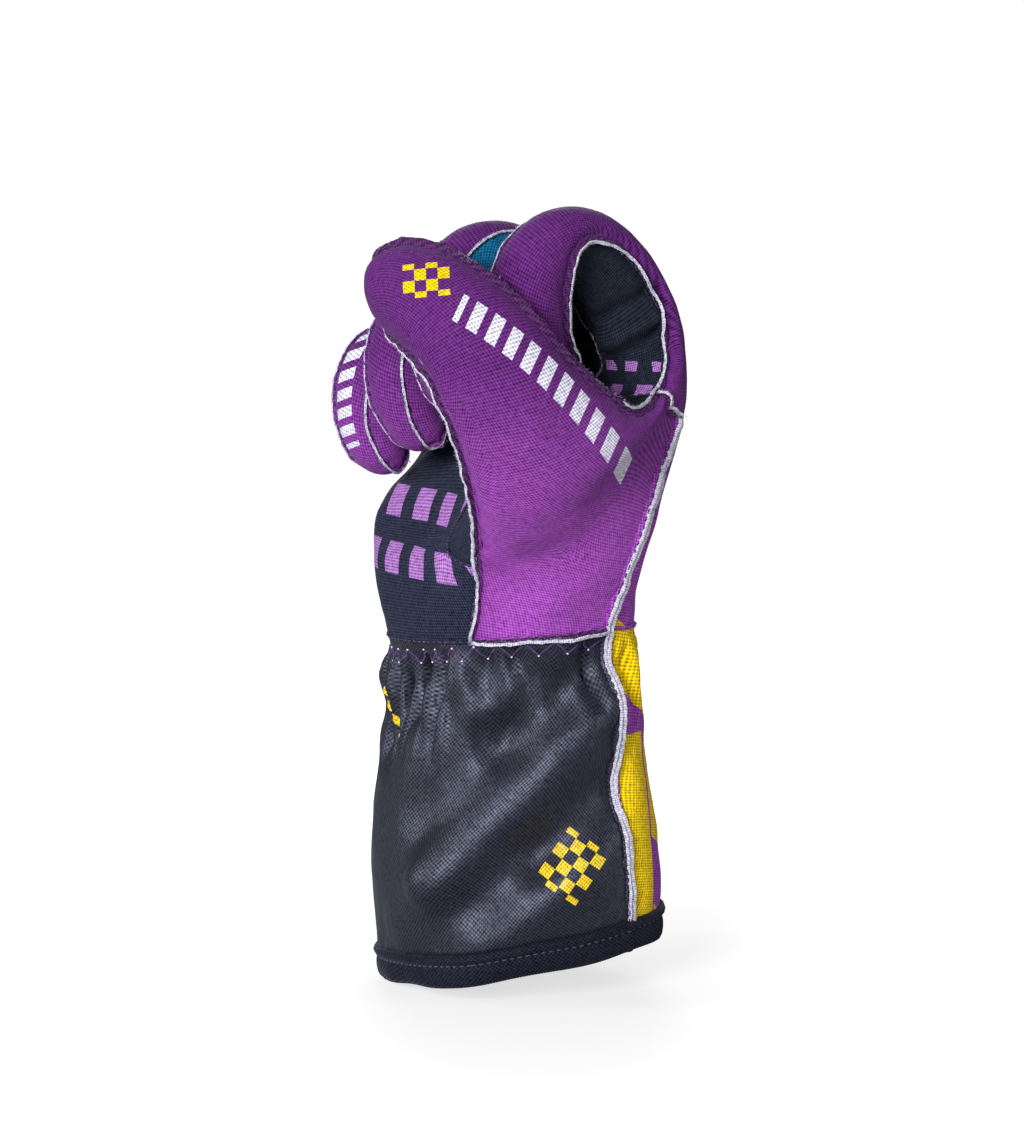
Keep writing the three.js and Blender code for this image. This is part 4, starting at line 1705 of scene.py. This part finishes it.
# Direction across the stripes on the back of the cuff
STRIPE = (0.6, 0, 1)
PRINTS: dict[Panel, tuple[Print, ...]] = {
    # A row of bars along the thumb, and a chequered patch near its tip
    Panel.THUMB: (
        Bars(
            WHITE, (-47.6, -39.8, 94.9), (0.499, -0.528, -0.687), (0.586, -0.378, 0.717),
            length=62, width=7, depth=40, bow=3.6, slant=0.35,
        ),
        Chequer(
            YELLOW, (-53.6, -24.9, 101), (0.766, -0.643, 0.05), (0.028, 0.126, 0.99),
            length=12, width=9, depth=30,
        ),
    ),
    # Black on the far part of the strip, so that its teal shows only in front
    Panel.GUSSET_1: (Print(INK_BLACK, (-8, -20, 80), (1, 0, 0), (0, 0, 1), length=60, width=120, depth=60),),
    # The stripe at the wrist, and bars down the little finger
    Panel.BACK: (
        Print(YELLOW, (12, -38, -11.5), STRIPE, (0, 1, 0), length=17, width=180, depth=60),
        Bars(
            WHITE, (-29, 31.5, 83), (0.12, 0, -0.99), (0, -1, 0),
            length=30, width=6.5, depth=12, slant=0.3, pitch=5,
        ),
    ),
    # Stripes across the cuff, and an upright one beside its seam
    Panel.CUFF_BACK: (
        Print(YELLOW, (12, -38, -11.5), STRIPE, (0, 1, 0), length=40, width=180, depth=60),
        Print(YELLOW, (12, -38, -21), (0, 0, -1), (1, 0, 0), length=90, width=14, depth=14, bow=1.2),
        Print(YELLOW, (38, 0, -60), STRIPE, (1, 0, 0), length=22, width=34, depth=80),
        Print(YELLOW, (38, 0, -104), STRIPE, (1, 0, 0), length=22, width=34, depth=80),
    ),
    # Grip pads across the palm, and smaller ones at the root of the index finger
    Panel.PALM: (
        Pads(LILAC, (-20, 42, 31), (0, -1, 0), (0, 0, 1), length=66, width=28, depth=40, slant=0.35),
        Pads(
            LILAC, (5, -22, 74), (0, -1, 0), (0, 0, 1),
            length=26, width=9, depth=20, slant=0.3, pitch=7, row=6, gap=3.4,
        ),
    ),
    # A chequered patch on the thumb's side, and a short stripe and bars on the little finger's
    Panel.CUFF_PALM: (
        Chequer(
            YELLOW, (-12, -35, -50.5), (0.588, -0.583, -0.561), (-0.497, 0.286, -0.819),
            length=13, width=16.2, depth=14, cell=3.25,
        ),
        Print(
            YELLOW, (-19, 30, -14), (0, -0.85, -0.53), (0, -0.53, 0.85),
            length=20, width=2.2, depth=16, bow=1,
        ),
        Bars(
            WHITE, (-22, 30, -56), (0, 0.1, -1), (-0.5, -0.86, 0),
            length=24, width=5, depth=12, pitch=3.4,
        ),
    ),
}


@dataclass(frozen=True)
class KnitFinish:
    """Knit of a racing glove: matt, with a soft nap and rows of small loops, coloured with painted highlights
    on the loops and painted shade in the gaps.

    The rows lie slantwise, 0.8 mm apart. The real ones are about 0.6 mm apart, but rows as fine as that
    fade at the photograph's distance.

    Attributes:
        name: The material's name.
        colour: The dye.
        shade: The darker dye of its patches.
        stitch: Size of two loops, in millimetres.
        relief: Height of a loop, in millimetres.
        contrast: Strength of the painted shade in the gaps and the painted highlights on the loops.
        roughness: Roughness between loop and gap.
        sheen: Strength of the nap's bloom.
        gloss: Strength of the loops' shine.
        bias: Turn of the rows on the cloth, in degrees.
        tint: Colour of the bloom and the shine.
        high: The colour that painted shade darkens the cloth to towards the fingertips, if it has any.
    """

    name: str
    colour: str
    shade: str
    stitch: float = 1.15
    relief: float = 0.22
    contrast: float = 1.6
    roughness: float = 0.82
    sheen: float = 0.2
    gloss: float = 0.25
    bias: float = 0
    tint: str = "#FFFFFF"
    high: str = ""

    # Sizes of the nap's specks, the dye's patches and the creases, in millimetres
    SPECK = 1.1
    PATCH = 26
    CREASE = 4.8
    CREASE_DEPTH = 0.5
    # Heights between which the painted shade darkens the colour towards the fingertips, in metres
    PAINTED_SHADE_HEIGHTS = (0.03, 0.08)
    # Share of the loops and of the nap in the cloth's small relief, which lies between 0 and 1
    LOOP_SHARE = 0.38
    NAP_SHARE = 0.9
    NAP_START = 0.05
    # Difference in roughness between gap and loop
    ROUGH_SPREAD = 0.12
    # Roughness of the bloom, and strengths of the relief of creases and knit
    BLOOM_ROUGHNESS = 0.4
    CREASE_STRENGTH = 0.5
    KNIT_STRENGTH = 0.7

    def knit(self, tree: bpy.types.NodeTree, place: Socket) -> Socket:
        """Makes the pattern of loops and nap, which is 1 on a loop and 0 in a gap.

        Args:
            tree: The material's tree.
            place: The object coordinates.

        Returns:
            The pattern.
        """
        uv = add_node(tree, "ShaderNodeUVMap", uv_map="cloth").outputs[0]
        bias = {"Vector": uv, "Angle": math.radians(self.bias)}
        turned = add_node(tree, "ShaderNodeVectorRotate", bias, rotation_type="Z_AXIS").outputs[0]
        turn = 2 * math.pi / (self.stitch * MM)
        scaled = {0: turned, 1: (turn, turn, 0)}
        rows = add_node(tree, "ShaderNodeVectorMath", scaled, operation="MULTIPLY").outputs[0]
        waves = add_node(tree, "ShaderNodeVectorMath", {0: rows}, operation="SINE").outputs[0]
        parts = add_node(tree, "ShaderNodeSeparateXYZ", {0: waves}).outputs
        loops = add_node(tree, "ShaderNodeMath", {0: parts[0], 1: parts[1]}, operation="MULTIPLY").outputs[0]
        fibres = {"Vector": place, "Scale": 1 / (self.SPECK * MM), "Detail": 3.0, "Roughness": 0.6}
        grain = add_node(tree, "ShaderNodeTexNoise", fibres).outputs[0]
        lifted = {0: grain, 1: self.NAP_SHARE, 2: self.NAP_START}
        nap = add_node(tree, "ShaderNodeMath", lifted, operation="MULTIPLY_ADD").outputs[0]
        summed = {0: loops, 1: self.LOOP_SHARE, 2: nap}
        return add_node(tree, "ShaderNodeMath", summed, operation="MULTIPLY_ADD").outputs[0]

    def dyed(self, tree: bpy.types.NodeTree, place: Socket) -> Socket:
        """Makes the colour of the cloth before it is printed, with painted shade towards the fingertips if it
        has any.

        Args:
            tree: The material's tree.
            place: The object coordinates.

        Returns:
            The colour.
        """
        clouds = {"Vector": place, "Scale": 1 / (self.PATCH * MM), "Detail": 4.0, "Roughness": 0.55}
        patches = add_node(tree, "ShaderNodeTexNoise", clouds).outputs[0]
        dye = {0: patches, 6: linear(self.shade), 7: linear(self.colour)}
        colour = add_node(tree, "ShaderNodeMix", dye, data_type="RGBA").outputs[2]
        if not self.high:
            return colour
        # Painted shade: the colour darkens with height towards the fingertips
        height = add_node(tree, "ShaderNodeSeparateXYZ", {0: place}).outputs[2]
        low, high = self.PAINTED_SHADE_HEIGHTS
        rise = add_node(tree, "ShaderNodeMapRange", {0: height, 1: low, 2: high}).outputs[0]
        fade = {0: rise, 6: colour, 7: linear(self.high)}
        return add_node(tree, "ShaderNodeMix", fade, data_type="RGBA").outputs[2]

    def material(self, prints: Sequence[Print] = ()) -> bpy.types.Material:
        """Builds the finish.

        Args:
            prints: Prints over the dyed cloth, the last one on top.

        Returns:
            The material.
        """
        material = bpy.data.materials.new(self.name)
        material.use_nodes = True
        tree = material.node_tree
        shader = tree.nodes["Principled BSDF"]
        place = add_node(tree, "ShaderNodeTexCoord").outputs["Object"]
        knit = self.knit(tree, place)
        colour = self.dyed(tree, place)
        for layer in prints:
            colour = layer.over(tree, place, colour)
        # Painted highlights and shade: the colour is lifted on each loop and darkened in each gap
        light = {0: knit, 1: self.contrast, 2: 1 - self.contrast / 2}
        shading = add_node(tree, "ShaderNodeMath", light, operation="MULTIPLY_ADD").outputs[0]
        shaded = {0: colour, "Scale": shading}
        gaps = add_node(tree, "ShaderNodeVectorMath", shaded, operation="SCALE").outputs[0]
        tree.links.new(gaps, shader.inputs["Base Color"])
        matt = {0: knit, 1: -self.ROUGH_SPREAD, 2: self.roughness + self.ROUGH_SPREAD / 2}
        rough = add_node(tree, "ShaderNodeMath", matt, operation="MULTIPLY_ADD").outputs[0]
        tree.links.new(rough, shader.inputs["Roughness"])
        shine = {0: knit, 1: 2 * self.gloss}
        glint = add_node(tree, "ShaderNodeMath", shine, operation="MULTIPLY").outputs[0]
        tree.links.new(glint, shader.inputs["Specular IOR Level"])
        wrinkles = {"Vector": place, "Scale": 1 / (self.CREASE * MM), "Detail": 2.0}
        creases = add_node(tree, "ShaderNodeTexNoise", wrinkles).outputs[0]
        soft = {"Strength": self.CREASE_STRENGTH, "Distance": self.CREASE_DEPTH * MM, "Height": creases}
        uneven = add_node(tree, "ShaderNodeBump", soft).outputs[0]
        fine = {"Strength": self.KNIT_STRENGTH, "Distance": self.relief * MM}
        fine |= {"Height": knit, "Normal": uneven}
        tree.links.new(add_node(tree, "ShaderNodeBump", fine).outputs[0], shader.inputs["Normal"])
        shader.inputs["Sheen Weight"].default_value = self.sheen
        shader.inputs["Sheen Roughness"].default_value = self.BLOOM_ROUGHNESS
        shader.inputs["Sheen Tint"].default_value = linear(self.tint)
        shader.inputs["Specular Tint"].default_value = linear(self.tint)
        return material


@dataclass(frozen=True)
class YarnFinish:
    """Sewing thread or raw fibre: soft, matt and slightly uneven in colour.

    Attributes:
        name: The material's name.
        colour: The dye.
        shade: The darker dye between the strands.
        roughness: Roughness of the thread.
        sheen: Strength of its bloom.
        wrap: Distance between loops of thread over an edge in millimetres, or 0 for none.
    """

    name: str
    colour: str
    shade: str
    roughness: float = 0.9
    sheen: float = 0.2
    wrap: float = 0

    # Size of the fibres' specks and depth of their relief, in millimetres
    SPECK = 0.65
    RELIEF = 0.1

    def material(self) -> bpy.types.Material:
        """Builds the finish."""
        material = bpy.data.materials.new(self.name)
        material.use_nodes = True
        tree = material.node_tree
        shader = tree.nodes["Principled BSDF"]
        place = add_node(tree, "ShaderNodeTexCoord").outputs["Object"]
        fibres = {"Vector": place, "Scale": 1 / (self.SPECK * MM), "Detail": 2.0}
        grain = add_node(tree, "ShaderNodeTexNoise", fibres).outputs[0]
        # Values of the pattern that take the shade and the full dye
        low, high = 0.35, 0.65
        if self.wrap:
            low, high = 0.4, 0.9
            uv = add_node(tree, "ShaderNodeUVMap", uv_map="cloth").outputs[0]
            run = add_node(tree, "ShaderNodeSeparateXYZ", {0: uv}).outputs[0]
            half = self.wrap * MM / 2
            loops = add_node(tree, "ShaderNodeMath", {0: run, 1: half}, operation="PINGPONG").outputs[0]
            mixed = {0: loops, 1: 0.3 / half, 2: grain}
            grain = add_node(tree, "ShaderNodeMath", mixed, operation="MULTIPLY_ADD").outputs[0]
        share = add_node(tree, "ShaderNodeMapRange", {0: grain, 1: low, 2: high}).outputs[0]
        dye = {0: share, 6: linear(self.shade), 7: linear(self.colour)}
        colour = add_node(tree, "ShaderNodeMix", dye, data_type="RGBA").outputs[2]
        tree.links.new(colour, shader.inputs["Base Color"])
        fine = {"Strength": 0.6, "Distance": self.RELIEF * MM, "Height": grain}
        tree.links.new(add_node(tree, "ShaderNodeBump", fine).outputs[0], shader.inputs["Normal"])
        shader.inputs["Roughness"].default_value = self.roughness
        shader.inputs["Sheen Weight"].default_value = self.sheen
        return material


# The photograph's view: direction in degrees, aim right and up of the frame's origin in millimetres,
# distance in metres, and the pixels that a metre covers in the picture's height
CAMERA_AZIMUTH = 40
CAMERA_ELEVATION = 7
CAMERA_AIM = (2.7, 22.4)
CAMERA_DISTANCE = 1.0
PIXELS_PER_METRE = 3680
PICTURE_HEIGHT = 1125
SENSOR = 36


def make_camera() -> None:
    """Places the camera where the photograph was taken from."""
    azimuth, elevation = math.radians(CAMERA_AZIMUTH), math.radians(CAMERA_ELEVATION)
    right = Vector((math.cos(azimuth), -math.sin(azimuth), 0))
    level = Vector((math.sin(azimuth), math.cos(azimuth), 0))
    ahead = level * math.cos(elevation) - UP * math.sin(elevation)
    up = right.cross(ahead)
    aim = (right * CAMERA_AIM[0] + up * CAMERA_AIM[1]) * MM
    data = bpy.data.cameras.new("camera")
    data.sensor_width = SENSOR
    data.lens = SENSOR * PIXELS_PER_METRE / PICTURE_HEIGHT
    data.clip_start, data.clip_end = 0.05, 20
    camera = bpy.data.objects.new("camera", data)
    bpy.context.scene.collection.objects.link(camera)
    camera.location = aim - ahead * CAMERA_DISTANCE
    camera.rotation_euler = Matrix((right, up, -ahead)).transposed().to_euler()
    bpy.context.scene.camera = camera


@dataclass(frozen=True)
class Softbox:
    """A large soft lamp: where it stands, its width and height in metres, and its power in watts."""

    name: str
    place: tuple[float, float, float]
    width: float
    height: float
    power: float


# Light that the white surroundings give besides the lamps
SURROUNDINGS = 0.05


def make_light() -> None:
    """Lights the glove softly from the front, with weak lamps round it."""
    boxes = (
        Softbox("key", (-1.15, -0.7, 0.4), 0.5, 0.4, 21),
        Softbox("left", (-1.1, 0.6, 0.3), 0.4, 0.4, 7),
        Softbox("right", (0.55, -1.05, 0.25), 0.3, 0.5, 4),
        Softbox("top", (0.1, 0.2, 1.2), 0.5, 0.5, 1.5),
        Softbox("back", (0.6, 0.8, 0.5), 0.6, 0.6, 6),
    )
    for box in boxes:
        data = bpy.data.lights.new(box.name, "AREA")
        data.shape = "ELLIPSE"
        data.size, data.size_y, data.energy = box.width, box.height, box.power
        lamp = bpy.data.objects.new(box.name, data)
        bpy.context.scene.collection.objects.link(lamp)
        lamp.location = box.place
        lamp.rotation_euler = (Vector(box.place) * -1).to_track_quat("-Z", "Y").to_euler()
    world = bpy.data.worlds.new("studio")
    bpy.context.scene.world = world
    world.use_nodes = True
    tree = world.node_tree
    background = tree.nodes["Background"]
    background.inputs["Color"].default_value = (1, 1, 1, 1)
    seen = add_node(tree, "ShaderNodeLightPath").outputs["Is Camera Ray"]
    glow = {0: seen, 1: 1.0, 2: SURROUNDINGS}
    strength = add_node(tree, "ShaderNodeMath", glow, operation="MULTIPLY_ADD").outputs[0]
    tree.links.new(strength, background.inputs["Strength"])
    bpy.context.scene.view_settings.view_transform = "Standard"


# The floor's radius, and where its own glow starts and ends in metres and in strength
FLOOR_RADIUS = 0.7
GLOW_START, GLOW_END = 0.05, 0.3
GLOW_LOW, GLOW_HIGH = 0.62, 1.0


def make_stage(floor_height: float) -> None:
    """Lays a pale floor under the hem, which brightens to the white of the background.

    Args:
        floor_height: Height of the floor in metres.
    """
    bm = bmesh.new()
    place = Matrix.Translation((0, 0, floor_height))
    bmesh.ops.create_circle(bm, cap_ends=True, radius=FLOOR_RADIUS, segments=64, matrix=place)
    floor = from_bmesh("floor", bm)
    # Pale matt floor that takes a faint shadow from the lamps. Its glow, seen only by the camera, is painted
    # light, weaker near the glove so that it leaves painted shade round the glove and fades to white away
    # from it
    material = bpy.data.materials.new("pale_floor")
    material.use_nodes = True
    tree = material.node_tree
    shader = tree.nodes["Principled BSDF"]
    shader.inputs["Base Color"].default_value = linear("#9A9A9A")
    shader.inputs["Roughness"].default_value = 0.95
    shader.inputs["Emission Color"].default_value = (1, 1, 1, 1)
    spot = add_node(tree, "ShaderNodeTexCoord").outputs["Object"]
    reach = add_node(tree, "ShaderNodeVectorMath", {0: spot}, operation="LENGTH").outputs["Value"]
    fade = {0: reach, 1: GLOW_START, 2: GLOW_END, 3: GLOW_LOW, 4: GLOW_HIGH}
    glow = add_node(tree, "ShaderNodeMapRange", fade).outputs[0]
    seen = add_node(tree, "ShaderNodeLightPath").outputs["Is Camera Ray"]
    shine = add_node(tree, "ShaderNodeMath", {0: glow, 1: seen}, operation="MULTIPLY").outputs[0]
    tree.links.new(shine, shader.inputs["Emission Strength"])
    floor.data.materials.append(material)
    floor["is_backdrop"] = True


# Distance between the stations along which the seams draw the cloth in, in millimetres
PUCKER_SPACING = 2.0


def main() -> None:
    """Builds the glove, and reports each piece."""
    make_camera()
    make_light()
    surface = ClothSurface(GloveCage().build())
    surface.fold(FOLDS)
    surface.undulate()
    surface.gather()
    surface.pucker([Track.of_seam(seam, PUCKER_SPACING) for seam in surface.seams()])
    # The cool bloom of the purple and the black cloths
    nap = "#C6CAE8"
    # Bright purple, matt, with painted highlights on its loops and painted shade in its gaps, and painted
    # shade that darkens it towards the fingertips
    purple = KnitFinish("purple_knit", "#A64FB9", "#8A3F9E", bias=32, high="#5A226C", sheen=0.08, tint=nap)
    # Black of the palm: dull and bluish, with painted highlights on its loops, painted shade in its gaps, and
    # painted shade that darkens it towards the fingertips
    black = KnitFinish(
        "black_knit", "#2C3147", "#1B1E2D", bias=45, high="#1D212D", sheen=0.04, tint=nap, contrast=2.0
    )
    # Black of the cuff's front: a close satin knit, whose folds show as soft highlights
    cuff = KnitFinish(
        "cuff_knit", "#1D1F2A", "#14161E", roughness=0.52, gloss=0.85, sheen=0.05, tint=nap, relief=0.1
    )
    # Teal strip beside the index finger, matt
    teal = KnitFinish("teal_knit", "#006A94", "#00577E", sheen=0.08)
    # Black rib knit of the hem, almost without gloss
    rib = KnitFinish("rib_knit", "#1A1D2B", "#10121D", sheen=0.1, tint=nap)
    # The turned edge of the purple cloth: a darker copy of the purple knit, partly the dark thread's colour
    # and partly painted shade
    purple_ply_shaded = KnitFinish("purple_knit_edge_painted_shade", "#52215F", "#35123F", bias=32, sheen=0.05)
    knits = {panel: (purple, "purple_knit") for panel in Panel}
    knits |= {panel: (black, "black_knit") for panel in (Panel.PALM, Panel.THUMB_INNER)}
    knits |= {Panel.CUFF_PALM: (cuff, "cuff_knit"), Panel.GUSSET_1: (teal, "teal_knit")}
    knits[Panel.HEM] = (rib, "rib_binding")
    made = {knit: knit.material() for knit in (purple, black, cuff, teal, rib, purple_ply_shaded)}
    # Pale reverse of the purple cloth, seen inside the cuff
    reverse = KnitFinish("knit_reverse", "#B9B7C6", "#A5A3B4").material()
    pieces = []
    for panel in Panel:
        if panel is Panel.HEM:
            continue
        knit, slot = knits[panel]
        outside = knit.material(PRINTS[panel]) if panel in PRINTS else made[knit]
        piece = PanelCloth(surface, panel).build(outside, reverse if knit is purple else made[black])
        pieces.append(piece)
    cloths = [made[knits[panel][0]] for panel in Panel]
    # Plies of purple panels take that darker copy with its painted shade; the others take their own cloth
    plies = [made[purple_ply_shaded] if knits[panel][0] is purple else made[knits[panel][0]] for panel in Panel]
    pieces += SeamWork(surface, [*cloths, *plies]).build()
    pieces += WristWork(surface).build()
    # Grey topstitching, a fine dashed line on the hem
    thread = YarnFinish("grey_thread", "#454556", "#4A465C").material()
    band, topstitch = HemBinding(surface).build(made[rib], thread)
    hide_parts(Panel.HEM.value)
    pieces += [band, topstitch]
    for piece in pieces:
        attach(piece, BODY)
        LOG.info("%s: %d faces", piece.name, len(piece.data.polygons))
    make_stage(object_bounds()[0][2])


if __name__ == "__main__":
    logging.basicConfig(level=logging.INFO, format="%(message)s")
    main()
